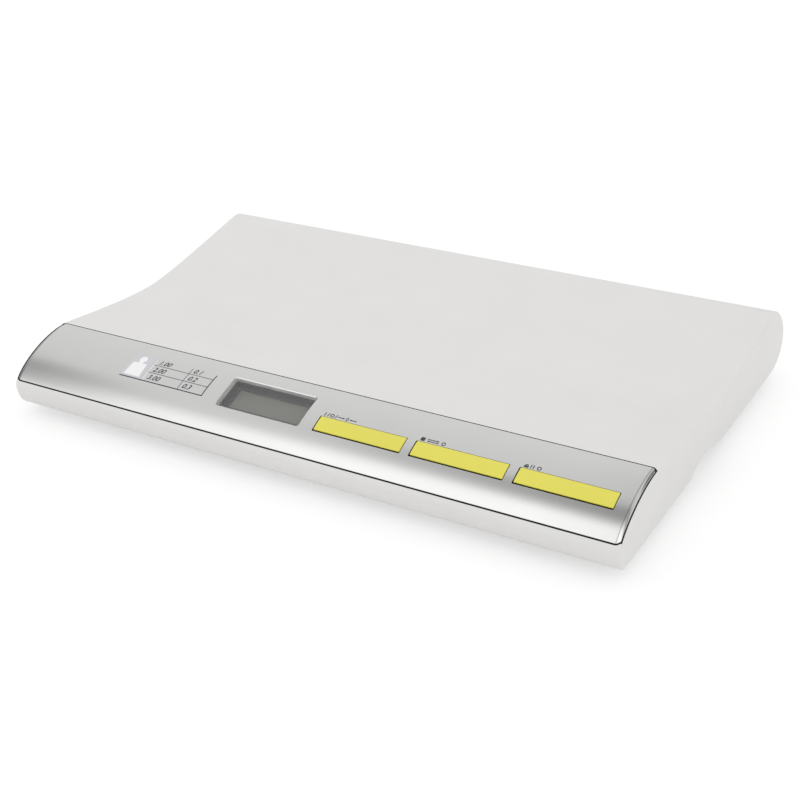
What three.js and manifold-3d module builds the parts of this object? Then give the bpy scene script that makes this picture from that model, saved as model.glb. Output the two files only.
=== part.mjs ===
// A digital baby weighing scale: a wide white tray that dips behind a silver control panel and
// rises to a rounded rear edge. It stands on four feet, each under a load cell.
// Lengths are millimetres and +Z is up. The origin is on the floor, under the middle of the scale.
// +X runs along the panel to the right, and +Y to the rear.
import * as THREE from "three";
import { mergeVertices } from "three/addons/utils/BufferGeometryUtils.js";
import Module from "manifold-3d";

const wasm = await Module();
wasm.setup();

// Overall sizes
const width = 550; // end face to end face
const depth = 352; // foremost line to rearmost line
const standoff = 9; // floor to the underside of the body
const lipHeight = 49; // underside to the lip behind the panel
const trayDrop = 11.8; // lip down to the lowest line of the tray
const crestRise = 9; // lip up to the rear crest
const wall = 2.8; // moulded wall of the top shell
const fit = 0.3; // gap between pieces that seat on or lie in each other
const overrun = 3; // how far a cut runs past what it cuts
const weld = 0.001; // corners closer than this are one

// Side profile: where its curves meet, and the handles that shape them
const frontTuck = 10.3; // the underside starts this far behind the foremost line
const frontTuckHeight = 18.6; // underside to the foremost line
const browHandle = 11;
const lipSetback = 64.5; // foremost line to the lip
const lipFrontHandle = 30.4;
const lipRearHandle = 8;
const trayLowShare = 0.5128; // foremost line to the lowest line of the tray, of the depth
const trayFrontHandle = 42;
const trayRearHandle = 28;
const crestSetback = 33.9; // rearmost line to the crest
const crestHandle = 38.5;
const crestClimb = 6.5; // rise along the crest's handle
const crestRearHandle = 12;
const rearNoseHeight = 23.5; // underside to the rearmost line
const noseUpperHandle = 17;
const noseLowerHandle = 13;
const rearTuck = 29.4; // the underside ends this far before the rearmost line
const rearTuckHandle = 17;
const circleShare = 0.5523; // handle of a quarter ellipse, as a share of its radius
const endRound = 1.5; // rounding where the skin meets an end face

// Control panel: places along the skin are measured from the foremost line
const panelStart = 5.2;
const panelEnd = 76.8;
const panelThickness = 3.4;
const panelEndRound = 1.2;
const panelBacking = 2.4; // shell wall behind the panel
const panelSeam = 0.35; // open line round the panel
const pegRadius = 1.8; // heat-staked pegs behind the panel
const pegLength = 5;
const pegPlace = 68; // along the skin
const pegShares = [-0.46, -0.2, 0.17, 0.46]; // of the width

// Display window
const windowWidth = 78.4;
const windowSpacing = 14.1; // window to the first key
const windowStart = 29.9;
const windowEnd = 61;
const windowCorner = 1.6;

// Display: lens, holder, glass, light guide and board, from the top down
const lensSink = 2; // chord of the window down to the lens
const lensThickness = 2;
const holderMargin = 2.8; // holder past the window
const holderLedge = 1.5; // holder under the edge of the lens
const holderDepth = 9.7;
const holderShelf = 4.8; // under the lens to the display glass
const glassThickness = 2.2;
const glassMargin = 3.2; // glass past the opening over it
const guideThickness = 2;
const boardThickness = 1.6;
const mainBoardMarginX = 6.8; // board past the window
const mainBoardMarginY = 5;
const chipSize = 9;
const chipHeight = 2;
const boardScrewRadius = 1;
const boardScrewHeadRadius = 1.9;
const boardScrewHeadHeight = 1.2;
const boardScrewLength = 6;
const boardPostRadius = 2.1;
const boardPostHole = 1.2;

// Keys, their switches and their board
const keyNames = ["power_tare", "unit", "hold"];
const keyWidth = 75.5;
const keySpacing = 8.9; // from one key to the next
const keyEndInset = 14.4; // last key to the end face
const keyStart = 30.5; // along the skin
const keyEnd = 44;
const keyGap = 0.65; // open line round each key
const keyProud = 0.4; // key face above the panel
const keyCrown = 0.25; // rise of the key's face at its middle
const keyTravel = 0.6;
const keyBodyDepth = 4.4; // face of the key to its flange
const keyFlange = 1.7;
const keyFlangeThickness = 1.2;
const keyStemRadius = 2.2;
const keyStemLength = 3.4;
const switchSize = 6;
const switchHeight = 3.4;
const plungerRadius = 1.7;
const plungerClear = 0.25;
const plungerShow = 0.9; // plunger above its switch
const plungerDepth = 2; // plunger inside its switch
const keyBoardY = 22;
const keyBoardMargin = 8; // board past the outer keys

// Ribs under the tray
const ribThickness = 1.6;
const ribHeight = 8;
const ribStart = 88; // along the skin
const ribStop = 78; // rib end to the end of the skin
const ribShares = [-0.36, -0.14, 0.14, 0.36]; // of the width
const crossRibShares = [0.28, 0.49, 0.68]; // of the skin's length

// Finger grips: an arch in each end wall with a pocket behind it
const archFrontY = -48;
const archPeakY = -15;
const archRearY = 44.5;
const archHeight = 9.6;
const archHandle = 14;
const pocketDepth = 24;
const pocketMargin = 2; // pocket past the arch, fore and aft
const pocketClear = 0.7; // pocket roof above the arch
const pocketWall = 2.4;

// Base cover: a plate inside the rim of the shell
const coverThickness = 2.6;
const coverSet = 0.6; // how far the cover lies above the underside
const coverRim = 5; // inward rim of the shell in front of and behind the cover
const coverCorner = 3;
const stiffenerHeight = 4;
const stiffenerThickness = 1.6;
const stiffenerShares = [-0.19, 0.24]; // of the depth
const stiffenerReachShare = 0.42; // of the width

// Screws that hold the base cover
const screwHeadRadius = 3;
const screwHeadHeight = 1.8;
const screwRadius = 1.4;
const screwLength = 12;
const screwPilot = 1.65;
const screwSink = 2.3; // depth of the counterbore in the cover
const recessShare = 0.75; // flat of a screw head, as a share of its radius
const collarRadius = 6.2;
const collarHeight = 2.2;
const bossRadius = 4.5;
const screwInnerShare = 0.2727; // inner screws to the middle, of the width
const screwEndInset = 19; // outer screws to the end face
const screwFrontInset = 77; // front screws to the foremost line
const screwSideShare = 0.21; // outer screws to the middle, of the depth
const screwRearInset = 46; // rear screws to the rearmost line

// Feet, with a load cell over each
const footEndInset = 53; // middle of a foot to the end face
const footFrontInset = 54; // to the foremost line
const footRearInset = 76; // to the rearmost line
const footTravel = 0.5;
const padRadius = 18.5;
const padThickness = 3;
const padDimple = 0.8; // chamfer round the pad's lower edge
const capRadius = 21;
const capRimZ = 1.4;
const capFlange = 2; // how far the snap flange stands out
const capFlangeHeight = 1.5;
const pusherRadius = 4.5;
const pusherHeight = 2.6;
const cellPlateSize = 32;
const cellPlateThickness = 2.5;
const cellPlateCorner = 4;
const tongueWidth = 12;
const slotWidth = 2.2;
const slotInset = 5;
const gaugeSize = 5; // strain gauge under its drop of resin
const gaugeHeight = 0.8;
const wellWall = 2.5;
const wellClear = 2; // flange to the wall of its well
const mouthClear = 1.2; // cap to the mouth of its well
const railWidth = 4;
const railHeight = 3.6;
const notchWidth = 8; // way out for the lead

// Battery bay, its door, four cells and their contacts
const bayX = 0;
const bayY = 42;
const bayWall = 2;
const batteryCount = 4;
const batteryLength = 43.3;
const batteryRadius = 5.25;
const batteryShoulder = 0.6;
const batteryGap = 0.5;
const nubRadius = 1.9;
const nubHeight = 1.2;
const contactThickness = 0.5;
const contactReach = 3.2; // wall side of a contact to the tip of its bump
const contactHeight = 8.5;
const bumpRadius = 2.4;
const doorThickness = 2;
const tabWidth = 8;
const tabReach = 4;
const tabThickness = 1.4;
const latchWidth = 14;
const latchHeight = 5;
const latchThickness = 1.2;
const latchClear = 0.6; // room to swing behind the latch
const gripDepth = 0.7; // grooves by the latch
const gripPitch = 3.6;
const gripCount = 3;

// Leads inside the body
const cellLeadRadius = 1.1;
const batteryLeadRadius = 1;
const leadHoleRadius = 1.6;
const leadRun = 6; // straight run before a lead turns
const harnessHeight = 10; // leads above the underside
const harnessStep = 3; // the black battery lead above the others
const solderRowX = 32; // outer joints on the board, from its middle
const solderPitch = 9;
const solderY = 5;
const leadDrop = 7; // leads hang this far under the board
const linkRadius = 1.5;
const linkInset = 4; // ends of the link between the boards
const leadSteps = 10; // length of a lead's steps, in radii

// Turned pieces have this many sides
const footSides = 20;
const pinSides = 8;
const roundSides = 12;

// Places that follow from the sizes
const frontY = -depth / 2;
const rearY = depth / 2;
const endX = width / 2;
const undersideZ = standoff;
const lipY = frontY + lipSetback;
const lipZ = undersideZ + lipHeight;
const trayLowY = frontY + trayLowShare * depth;
const trayLowZ = lipZ - trayDrop;
const crestY = rearY - crestSetback;
const crestZ = lipZ + crestRise;
const frontNoseZ = undersideZ + frontTuckHeight;
const rearNoseZ = undersideZ + rearNoseHeight;

const coverZ = undersideZ + coverSet;
const coverTopZ = coverZ + coverThickness;
const openingFrontY = frontY + frontTuck + coverRim;
const openingRearY = rearY - rearTuck - coverRim;
const openingX = endX - wall;
const bossBottomZ = coverTopZ + collarHeight + fit;
const pocketRoofZ = undersideZ + archHeight + pocketClear;

const screwInnerX = screwInnerShare * width;
const screwOuterX = endX - screwEndInset;
const screwFrontY = frontY + screwFrontInset;
const screwSideY = screwSideShare * depth;
const screwRearY = rearY - screwRearInset;
const footX = endX - footEndInset;
const footFrontY = frontY + footFrontInset;
const footRearY = rearY - footRearInset;

const capTopZ = coverTopZ + fit;
const flangeTopZ = capTopZ + capFlangeHeight;
const pusherTopZ = flangeTopZ + pusherHeight;
const cellPlateZ = pusherTopZ + footTravel + fit;
const cellPlateTopZ = cellPlateZ + cellPlateThickness;
const railZ = cellPlateTopZ + fit;
const wellRoofZ = railZ + railHeight;
const wellTopZ = wellRoofZ + wellWall;
const wellRadius = capRadius + capFlange + wellClear;
const mouthRadius = capRadius + mouthClear;

const batteryPitch = 2 * batteryRadius + batteryGap;
const bayHalfX = (batteryLength + nubHeight) / 2 + contactReach + 2 * fit;
const bayHalfY = (batteryCount * batteryPitch + batteryGap) / 2 + latchThickness + latchClear;
const bayFrontY = bayY - bayHalfY;
const bayRearY = bayY + bayHalfY;
const batteryZ = coverZ + doorThickness + fit + batteryGap + batteryRadius;
const bayRoofZ = batteryZ + batteryRadius + fit;

const lensZ = -lensSink - lensThickness;
const holderTopZ = lensZ - fit;
const holderBottomZ = holderTopZ - holderDepth;
const glassTopZ = holderTopZ - holderShelf;
const guideTopZ = glassTopZ - glassThickness - fit;
const mainBoardTopZ = holderBottomZ - fit;

const keyPitch = keyWidth + keySpacing;
const firstKeyX = endX - keyEndInset - keyWidth / 2 - (keyNames.length - 1) * keyPitch;
const windowX = firstKeyX - keyWidth / 2 - windowSpacing - windowWidth / 2;
const keyPlace = (keyStart + keyEnd) / 2;
const keyHeight = keyEnd - keyStart;
const keyFlangeTopZ = keyProud - keyBodyDepth;
const keyStemTopZ = keyFlangeTopZ - keyFlangeThickness;
const plungerTopZ = keyStemTopZ - keyStemLength - fit;
const switchTopZ = plungerTopZ - plungerShow;
const switchBottomZ = switchTopZ - switchHeight;
const keyBoardTopZ = switchBottomZ - fit;

// Materials
const material = (color, roughness, metalness = 0) =>
  new THREE.MeshStandardMaterial({ color, roughness, metalness });
const whitePlastic = material(0xe6e5e3, 0.5);
const coverPlastic = material(0xdcdbd8, 0.6);
const silverPanel = material(0xc4c4c4, 0.3, 0.85);
const yellowKey = material(0xe6dc5c, 0.45);
const darkPlastic = material(0x4c4b48, 0.6);
const clearLens = new THREE.MeshStandardMaterial({
  color: 0xd8dcdc,
  roughness: 0.05,
  transparent: true,
  opacity: 0.3,
});
const lcdGlass = material(0x82817a, 0.35);
const diffuser = material(0xe9ebe6, 0.4);
const boardGreen = material(0x2c6b3f, 0.5);
const blackPlastic = material(0x1d1d1f, 0.5);
const greyRubber = material(0x8d8c8a, 0.9);
const springSteel = material(0xb8bbbe, 0.35, 0.9);
const screwSteel = material(0xa9acb0, 0.35, 0.9);
const batteryJacket = material(0x3a5f8a, 0.35, 0.2);
const redWire = material(0xb3282d, 0.5);
const blackWire = material(0x202022, 0.5);
const greyWire = material(0x9a9a9c, 0.5);

// Solids and meshes
function solid(geometry) {
  const loose = geometry.index ? geometry.toNonIndexed() : geometry;
  const bare = new THREE.BufferGeometry();
  bare.setAttribute("position", loose.getAttribute("position"));
  const merged = mergeVertices(bare, weld);
  return new wasm.Manifold(
    new wasm.Mesh({
      numProp: 3,
      vertProperties: merged.attributes.position.array,
      triVerts: new Uint32Array(merged.index.array),
    }),
  );
}

function geometryOf(shape) {
  const mesh = shape.getMesh();
  const places = new Float32Array(mesh.numVert * 3);
  for (let i = 0; i < mesh.numVert; i++) {
    places.set(mesh.vertProperties.subarray(i * mesh.numProp, i * mesh.numProp + 3), i * 3);
  }
  const geometry = new THREE.BufferGeometry();
  geometry.setAttribute("position", new THREE.BufferAttribute(places, 3));
  geometry.setIndex(new THREE.BufferAttribute(mesh.triVerts, 1));
  geometry.computeVertexNormals();
  return geometry;
}

const joined = (first, ...others) => others.reduce((sum, other) => sum.add(other), first);
const cutBy = (first, ...others) => others.reduce((sum, other) => sum.subtract(other), first);

function named(name, geometry, look, x = 0, y = 0, z = 0) {
  const mesh = new THREE.Mesh(geometry, look);
  mesh.name = name;
  mesh.position.set(x, y, z);
  return mesh;
}

// Profile points hold (y, z); an extrusion of them runs along X.
const sideways = new THREE.Matrix4().makeBasis(
  new THREE.Vector3(0, 1, 0),
  new THREE.Vector3(0, 0, 1),
  new THREE.Vector3(1, 0, 0),
);

function alongX(points, fromX, toX, round = 0) {
  const geometry = new THREE.ExtrudeGeometry(new THREE.Shape(points), {
    depth: toX - fromX - 2 * round,
    bevelEnabled: round > 0,
    bevelThickness: round,
    bevelSize: round,
    bevelOffset: -round,
    bevelSegments: 2,
  });
  geometry.translate(0, 0, fromX + round);
  return geometry.applyMatrix4(sideways);
}

function block(fromX, toX, fromY, toY, fromZ, toZ) {
  const geometry = new THREE.BoxGeometry(Math.abs(toX - fromX), toY - fromY, toZ - fromZ);
  return geometry.translate((fromX + toX) / 2, (fromY + toY) / 2, (fromZ + toZ) / 2);
}

function centredBlock(sizeX, sizeY, fromZ, toZ) {
  return block(-sizeX / 2, sizeX / 2, -sizeY / 2, sizeY / 2, fromZ, toZ);
}

// An upright lathe; its profile points hold (radius, height).
function turned(profile, sides) {
  const points = profile.map(([radius, height]) => new THREE.Vector2(radius, height));
  return new THREE.LatheGeometry(points, sides).rotateX(Math.PI / 2);
}

function rod(radius, fromZ, toZ, sides) {
  const profile = [[0, fromZ], [radius, fromZ], [radius, toZ], [0, toZ]];
  return turned(profile, sides);
}

// Copies of a shape as solids, one at each place on the floor
function placed(geometry, places) {
  return places.map(([x, y]) => solid(geometry.clone().translate(x, y, 0)));
}

// A plate with round corners, centred on the origin
function roundedPlate(sizeX, sizeY, corner, fromZ, toZ) {
  const x = sizeX / 2 - corner;
  const y = sizeY / 2 - corner;
  const quarter = Math.PI / 2;
  const shape = new THREE.Shape();
  shape.absarc(x, -y, corner, -quarter, 0);
  shape.absarc(x, y, corner, 0, quarter);
  shape.absarc(-x, y, corner, quarter, 2 * quarter);
  shape.absarc(-x, -y, corner, 2 * quarter, 3 * quarter);
  shape.closePath();
  const geometry = new THREE.ExtrudeGeometry(shape, {
    depth: toZ - fromZ,
    bevelEnabled: false,
    curveSegments: 3,
  });
  return geometry.translate(0, 0, fromZ);
}

// The skin runs from the foremost line, over the panel, lip, tray and crest, to the underside.
const at = (y, z) => new THREE.Vector2(y, z);
const bend = (...points) => new THREE.CubicBezierCurve(...points);
const crestSlope = crestClimb / crestHandle;
const tuckCurve = bend(
  at(frontY + frontTuck, undersideZ),
  at(frontY + frontTuck * (1 - circleShare), undersideZ),
  at(frontY, frontNoseZ - frontTuckHeight * circleShare),
  at(frontY, frontNoseZ),
);
const browCurve = bend(
  at(frontY, frontNoseZ),
  at(frontY, frontNoseZ + browHandle),
  at(lipY - lipFrontHandle, lipZ),
  at(lipY, lipZ),
);
const fallCurve = bend(
  at(lipY, lipZ),
  at(lipY + lipRearHandle, lipZ),
  at(trayLowY - trayFrontHandle, trayLowZ),
  at(trayLowY, trayLowZ),
);
const riseCurve = bend(
  at(trayLowY, trayLowZ),
  at(trayLowY + trayRearHandle, trayLowZ),
  at(crestY - crestHandle, crestZ - crestClimb),
  at(crestY, crestZ),
);
const noseUpperCurve = bend(
  at(crestY, crestZ),
  at(crestY + crestRearHandle, crestZ + crestRearHandle * crestSlope),
  at(rearY, rearNoseZ + noseUpperHandle),
  at(rearY, rearNoseZ),
);
const noseLowerCurve = bend(
  at(rearY, rearNoseZ),
  at(rearY, rearNoseZ - noseLowerHandle),
  at(rearY - rearTuck + rearTuckHandle, undersideZ),
  at(rearY - rearTuck, undersideZ),
);

const skin = new THREE.CurvePath();
[browCurve, fallCurve, riseCurve, noseUpperCurve, noseLowerCurve].forEach((curve) => skin.add(curve));
const skinLength = skin.getLength();

const outline = [
  [tuckCurve, 5],
  [browCurve, 12],
  [fallCurve, 7],
  [riseCurve, 7],
  [noseUpperCurve, 8],
  [noseLowerCurve, 5],
].flatMap(([curve, steps]) => curve.getPoints(steps).slice(0, -1));
outline.push(noseLowerCurve.getPoint(1));

// A point under the skin, by its place along the skin and its depth
function under(place, depthBelow) {
  const share = place / skinLength;
  const along = skin.getTangent(share);
  return skin.getPoint(share).addScaledVector(at(along.y, -along.x), depthBelow);
}

// A strip under the skin, from one place along it to another and from one depth to another
function strip(from, to, shallow, deep, steps) {
  const places = Array.from({ length: steps + 1 }, (_, i) => from + ((to - from) * i) / steps);
  const upper = places.map((place) => under(place, shallow));
  const lower = places.map((place) => under(place, deep));
  return [...upper, ...lower.reverse()];
}

// The closed outline drawn in by a wall
function drawnIn(points, by) {
  return points.map((point, i) => {
    const before = points[(i + points.length - 1) % points.length];
    const after = points[(i + 1) % points.length];
    const along = after.clone().sub(before).normalize();
    return at(point.x + along.y * by, point.y - along.x * by);
  });
}

// Height of the skin above a place on the floor
function skinHeight(y) {
  const curve = [browCurve, fallCurve, riseCurve].find((part) => part.v3.x > y);
  let low = 0;
  let high = 1;
  for (let i = 0; i < 40; i++) {
    const middle = (low + high) / 2;
    if (curve.getPoint(middle).x < y) low = middle;
    else high = middle;
  }
  return curve.getPoint(low).y;
}

// A frame on the skin: its X runs along the panel, its Y up the slope and its Z out.
function skinFrame(x, origin, from, to) {
  const chord = under(to, 0).sub(under(from, 0));
  const frame = new THREE.Group();
  frame.position.set(x, origin.x, origin.y);
  frame.rotation.x = Math.atan2(chord.y, chord.x);
  frame.updateMatrixWorld(true);
  return frame;
}

const inFrame = (geometry, frame) => solid(geometry.clone().applyMatrix4(frame.matrixWorld));

const windowMiddle = under(windowStart, 0).add(under(windowEnd, 0)).multiplyScalar(1 / 2);
const windowHeight = under(windowStart, 0).distanceTo(under(windowEnd, 0));
const displayFrame = skinFrame(windowX, windowMiddle, windowStart, windowEnd);
const keyRowFrame = skinFrame(0, under(keyPlace, 0), keyStart, keyEnd);
const keyFrames = keyNames.map((_, i) =>
  skinFrame(firstKeyX + i * keyPitch, under(keyPlace, 0), keyStart, keyEnd),
);
const pegFrames = pegShares.map((share) =>
  skinFrame(share * width, under(pegPlace, 0), pegPlace - pegRadius, pegPlace + pegRadius),
);

const screwPlaces = [-1, 1].flatMap((side) => [
  [side * screwInnerX, screwFrontY],
  [side * screwOuterX, -screwSideY],
  [side * screwOuterX, screwSideY],
  [side * screwInnerX, screwRearY],
]);
const feet = [
  ["front_left", -footX, footFrontY],
  ["front_right", footX, footFrontY],
  ["rear_left", -footX, footRearY],
  ["rear_right", footX, footRearY],
];
const keyPostPlaces = [0.5, 1.5].map((pitches) => [firstKeyX + pitches * keyPitch, 0]);
const holderX = windowWidth + 2 * holderMargin;
const holderY = windowHeight + 2 * holderMargin;
const holderPostX = holderX / 2 + boardPostRadius / 2;
const holderPostY = holderY / 2 - boardPostRadius;
const holderPostPlaces = [
  [-holderPostX, holderPostY],
  [holderPostX, -holderPostY],
];
const mainBoardX = windowWidth + 2 * mainBoardMarginX;
const mainBoardY = windowHeight + 2 * mainBoardMarginY;
const glassX = windowWidth - 2 * holderLedge + glassMargin;
const glassY = windowHeight - 2 * holderLedge + glassMargin;

// Silver control panel with its window, key slots and pegs
function controlPanel() {
  const body = solid(alongX(strip(panelStart, panelEnd, 0, panelThickness, 14), -endX, endX, panelEndRound));
  const deep = -overrun - panelThickness;
  const window = roundedPlate(windowWidth, windowHeight, windowCorner, deep, overrun);
  const slot = roundedPlate(keyWidth + 2 * keyGap, keyHeight + 2 * keyGap, keyGap, deep, overrun);
  const peg = rod(pegRadius, -panelThickness - pegLength, -panelThickness / 2, pinSides);
  return geometryOf(
    joined(
      cutBy(body, inFrame(window, displayFrame), ...keyFrames.map((frame) => inFrame(slot, frame))),
      ...pegFrames.map((frame) => inFrame(peg, frame)),
    ),
  );
}

// An arch of the end walls, as a cut between two places along X
function archCut(fromX, toX) {
  const archZ = undersideZ + archHeight;
  const low = undersideZ - overrun;
  const arch = new THREE.Shape([at(archFrontY, low), at(archFrontY, undersideZ)]);
  arch.bezierCurveTo(
    archFrontY + archHandle / 2,
    undersideZ,
    archPeakY - archHandle,
    archZ,
    archPeakY,
    archZ,
  );
  arch.bezierCurveTo(
    archPeakY + archHandle,
    archZ,
    archRearY - 2 * archHandle,
    undersideZ,
    archRearY,
    undersideZ,
  );
  arch.lineTo(archRearY, low);
  return solid(alongX(arch.getPoints(5), fromX, toX));
}

// The shell's skin as a hollow, with the seat for the panel and its backing
function hollowShell() {
  const outer = solid(alongX(outline, -endX, endX, endRound));
  const seatDepth = panelThickness + fit;
  const seat = strip(panelStart - panelSeam, panelEnd + panelSeam, -overrun, seatDepth, 14);
  const recess = solid(alongX(seat, -endX - overrun, endX + overrun));
  const backing = strip(panelStart - wall, panelEnd + wall, -overrun, seatDepth + panelBacking, 14);
  const inside = solid(alongX(drawnIn(outline, wall), -openingX, openingX));
  const cavity = inside.subtract(solid(alongX(backing, -endX, endX)));
  const mouth = block(
    -openingX,
    openingX,
    openingFrontY,
    openingRearY,
    undersideZ - overrun,
    undersideZ + wall + overrun,
  );
  return cutBy(outer, recess, cavity, solid(mouth));
}

// Ribs under the tray, fore and aft and across
function trayRibs() {
  const long = strip(ribStart, skinLength - ribStop, wall / 2, wall + ribHeight, 10);
  const longRibs = ribShares.map((share) => {
    const x = share * width;
    return solid(alongX(long, x - ribThickness / 2, x + ribThickness / 2));
  });
  const crossRibs = crossRibShares.map((share) => {
    const place = share * skinLength;
    const cross = strip(place, place + ribThickness, wall / 2, wall + ribHeight, 1);
    return solid(alongX(cross, -openingX - wall / 2, openingX + wall / 2));
  });
  return [...longRibs, ...crossRibs];
}

// Top shell: tray, front, rear and end walls in one moulding
function topShell() {
  const deep = -2 * (panelThickness + fit + panelBacking);
  const holderHole = centredBlock(holderX + 2 * fit, holderY + 2 * fit, deep, overrun);
  const keyHole = centredBlock(
    keyWidth + 2 * (keyFlange + fit),
    keyHeight + 2 * (keyFlange + fit),
    deep,
    overrun,
  );
  const pegHole = rod(pegRadius + fit, deep, 0, pinSides);
  const postTopZ = -panelThickness - fit - panelBacking / 2;
  const post = rod(boardPostRadius, keyBoardTopZ + fit, postTopZ, pinSides);
  const postHole = rod(boardPostHole, keyBoardTopZ, keyBoardTopZ + boardScrewLength, pinSides);
  const inRow = (geometry) =>
    keyPostPlaces.map(([x, y]) => inFrame(geometry.clone().translate(x, y, 0), keyRowFrame));
  const bosses = screwPlaces.map(([x, y]) =>
    solid(rod(bossRadius, bossBottomZ, skinHeight(y) - wall / 2, roundSides).translate(x, y, 0)),
  );
  const pilot = rod(screwPilot, bossBottomZ - overrun, bossBottomZ + screwLength, pinSides);
  return geometryOf(
    cutBy(
      joined(hollowShell(), ...bosses, ...trayRibs(), ...inRow(post)),
      archCut(endX - wall - overrun, endX + overrun),
      archCut(-endX - overrun, -endX + wall + overrun),
      inFrame(holderHole, displayFrame),
      ...keyFrames.map((frame) => inFrame(keyHole, frame)),
      ...pegFrames.map((frame) => inFrame(pegHole, frame)),
      ...placed(pilot, screwPlaces),
      ...inRow(postHole),
    ),
  );
}

// A well for a foot: what it adds to the cover, what it cuts, and the rails over its load cell
function footWell([, x, y]) {
  const mouth = rod(mouthRadius, coverZ - overrun, coverTopZ + overrun, footSides);
  const inside = rod(wellRadius, coverTopZ, wellRoofZ, footSides);
  const notch = block(
    0,
    -Math.sign(x) * (wellRadius + wellWall + overrun),
    -notchWidth / 2,
    notchWidth / 2,
    cellPlateTopZ,
    wellRoofZ,
  );
  const reach = cellPlateSize / 2 - cellPlateCorner;
  const railY = cellPlateSize / 2 - railWidth;
  const rails = [-railY, railY].map((middle) =>
    block(-reach, reach, middle - railWidth / 2, middle + railWidth / 2, railZ, wellRoofZ + fit),
  );
  const here = (geometry) => solid(geometry.translate(x, y, 0));
  return {
    outside: here(rod(wellRadius + wellWall, coverZ, wellTopZ, footSides)),
    inside: joined(here(mouth), here(inside), here(notch)),
    rails: rails.map(here),
  };
}

// The pocket behind an end wall's arch: what it adds to the cover and what it cuts
function gripPocket(side) {
  const innerX = openingX - pocketDepth;
  const fromY = archFrontY - pocketMargin;
  const toY = archRearY + pocketMargin;
  const outside = block(
    side * (innerX - pocketWall),
    side * (openingX - fit),
    fromY - pocketWall,
    toY + pocketWall,
    coverZ,
    pocketRoofZ + pocketWall,
  );
  const inside = block(side * innerX, side * endX, fromY, toY, coverZ - overrun, pocketRoofZ);
  return { outside: solid(outside), inside: solid(inside) };
}

// The battery bay: what it adds to the cover and what it cuts
function batteryBay() {
  const outside = block(
    bayX - bayHalfX - bayWall,
    bayX + bayHalfX + bayWall,
    bayFrontY - bayWall,
    bayRearY + bayWall,
    coverZ,
    bayRoofZ + bayWall,
  );
  const inside = block(
    bayX - bayHalfX,
    bayX + bayHalfX,
    bayFrontY,
    bayRearY,
    coverZ - overrun,
    bayRoofZ,
  );
  const tabRoom = block(
    bayX - bayHalfX + bayWall,
    bayX + bayHalfX - bayWall,
    bayFrontY - bayWall - overrun,
    bayFrontY + overrun,
    coverTopZ,
    bayRoofZ,
  );
  const leadHole = rod(leadHoleRadius, -overrun, bayWall + overrun, pinSides).rotateY(-Math.PI / 2);
  const leadHoles = [-1, 1].map((side) => {
    const y = bayY + (side * (batteryCount - 1) * batteryPitch) / 2;
    return solid(leadHole.clone().translate(bayX - bayHalfX, y, batteryZ));
  });
  return {
    outside: solid(outside),
    inside: joined(solid(inside), solid(tabRoom), ...leadHoles),
  };
}

// Base cover with its foot wells, battery bay and finger pockets
function baseCover() {
  const plateX = 2 * (openingX - fit);
  const plateY = openingRearY - openingFrontY - 2 * fit;
  const plate = roundedPlate(plateX, plateY, coverCorner, coverZ, coverTopZ);
  plate.translate(0, (openingFrontY + openingRearY) / 2, 0);
  const stiffeners = stiffenerShares.map((share) => {
    const y = share * depth;
    const reach = stiffenerReachShare * width;
    const rib = block(
      -reach,
      reach,
      y - stiffenerThickness / 2,
      y + stiffenerThickness / 2,
      coverZ + coverThickness / 2,
      coverTopZ + stiffenerHeight,
    );
    return solid(rib);
  });
  const collarTopZ = coverTopZ + collarHeight;
  const collar = rod(collarRadius, coverZ, collarTopZ, roundSides);
  const counterbore = rod(screwHeadRadius + fit, coverZ - overrun, coverZ + screwSink, roundSides);
  const clearHole = rod(screwRadius + fit, coverZ, collarTopZ + overrun, pinSides);
  const wells = feet.map(footWell);
  const hollows = [...wells, ...[-1, 1].map(gripPocket), batteryBay()];
  return geometryOf(
    joined(
      cutBy(
        joined(
          solid(plate),
          ...hollows.map((hollow) => hollow.outside),
          ...stiffeners,
          ...placed(collar, screwPlaces),
        ),
        ...hollows.map((hollow) => hollow.inside),
        ...placed(counterbore, screwPlaces),
        ...placed(clearHole, screwPlaces),
      ),
      ...wells.flatMap((well) => well.rails),
    ),
  );
}

// Battery door: it swings down about its front lower edge.
function batteryDoor() {
  const halfX = bayHalfX - fit;
  const fromY = bayFrontY + fit;
  const toY = bayRearY - fit;
  const topZ = coverZ + doorThickness;
  const middleZ = coverZ + doorThickness / 2;
  const tabZ = coverTopZ + fit;
  const plate = block(bayX - halfX, bayX + halfX, fromY, toY, coverZ, topZ);
  const tabs = [-1, 1].flatMap((side) => {
    const x = bayX + side * (bayHalfX - bayWall - tabWidth);
    const ends = [x - tabWidth / 2, x + tabWidth / 2];
    return [
      block(...ends, fromY, fromY + tabThickness, middleZ, tabZ + tabThickness),
      block(...ends, fromY - tabReach, fromY + tabThickness, tabZ, tabZ + tabThickness),
    ];
  });
  const latchEnds = [bayX - latchWidth / 2, bayX + latchWidth / 2];
  const latchY = toY - latchClear;
  const latch = block(...latchEnds, latchY - latchThickness, latchY, middleZ, topZ + latchHeight);
  const grips = Array.from({ length: gripCount }, (_, i) => {
    const y = latchY - (i + 1) * gripPitch;
    return block(...latchEnds, y, y + gripPitch / 2, coverZ - overrun, coverZ + gripDepth);
  });
  return geometryOf(cutBy(joined(solid(plate), ...tabs.map(solid), solid(latch)), ...grips.map(solid)));
}

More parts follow.
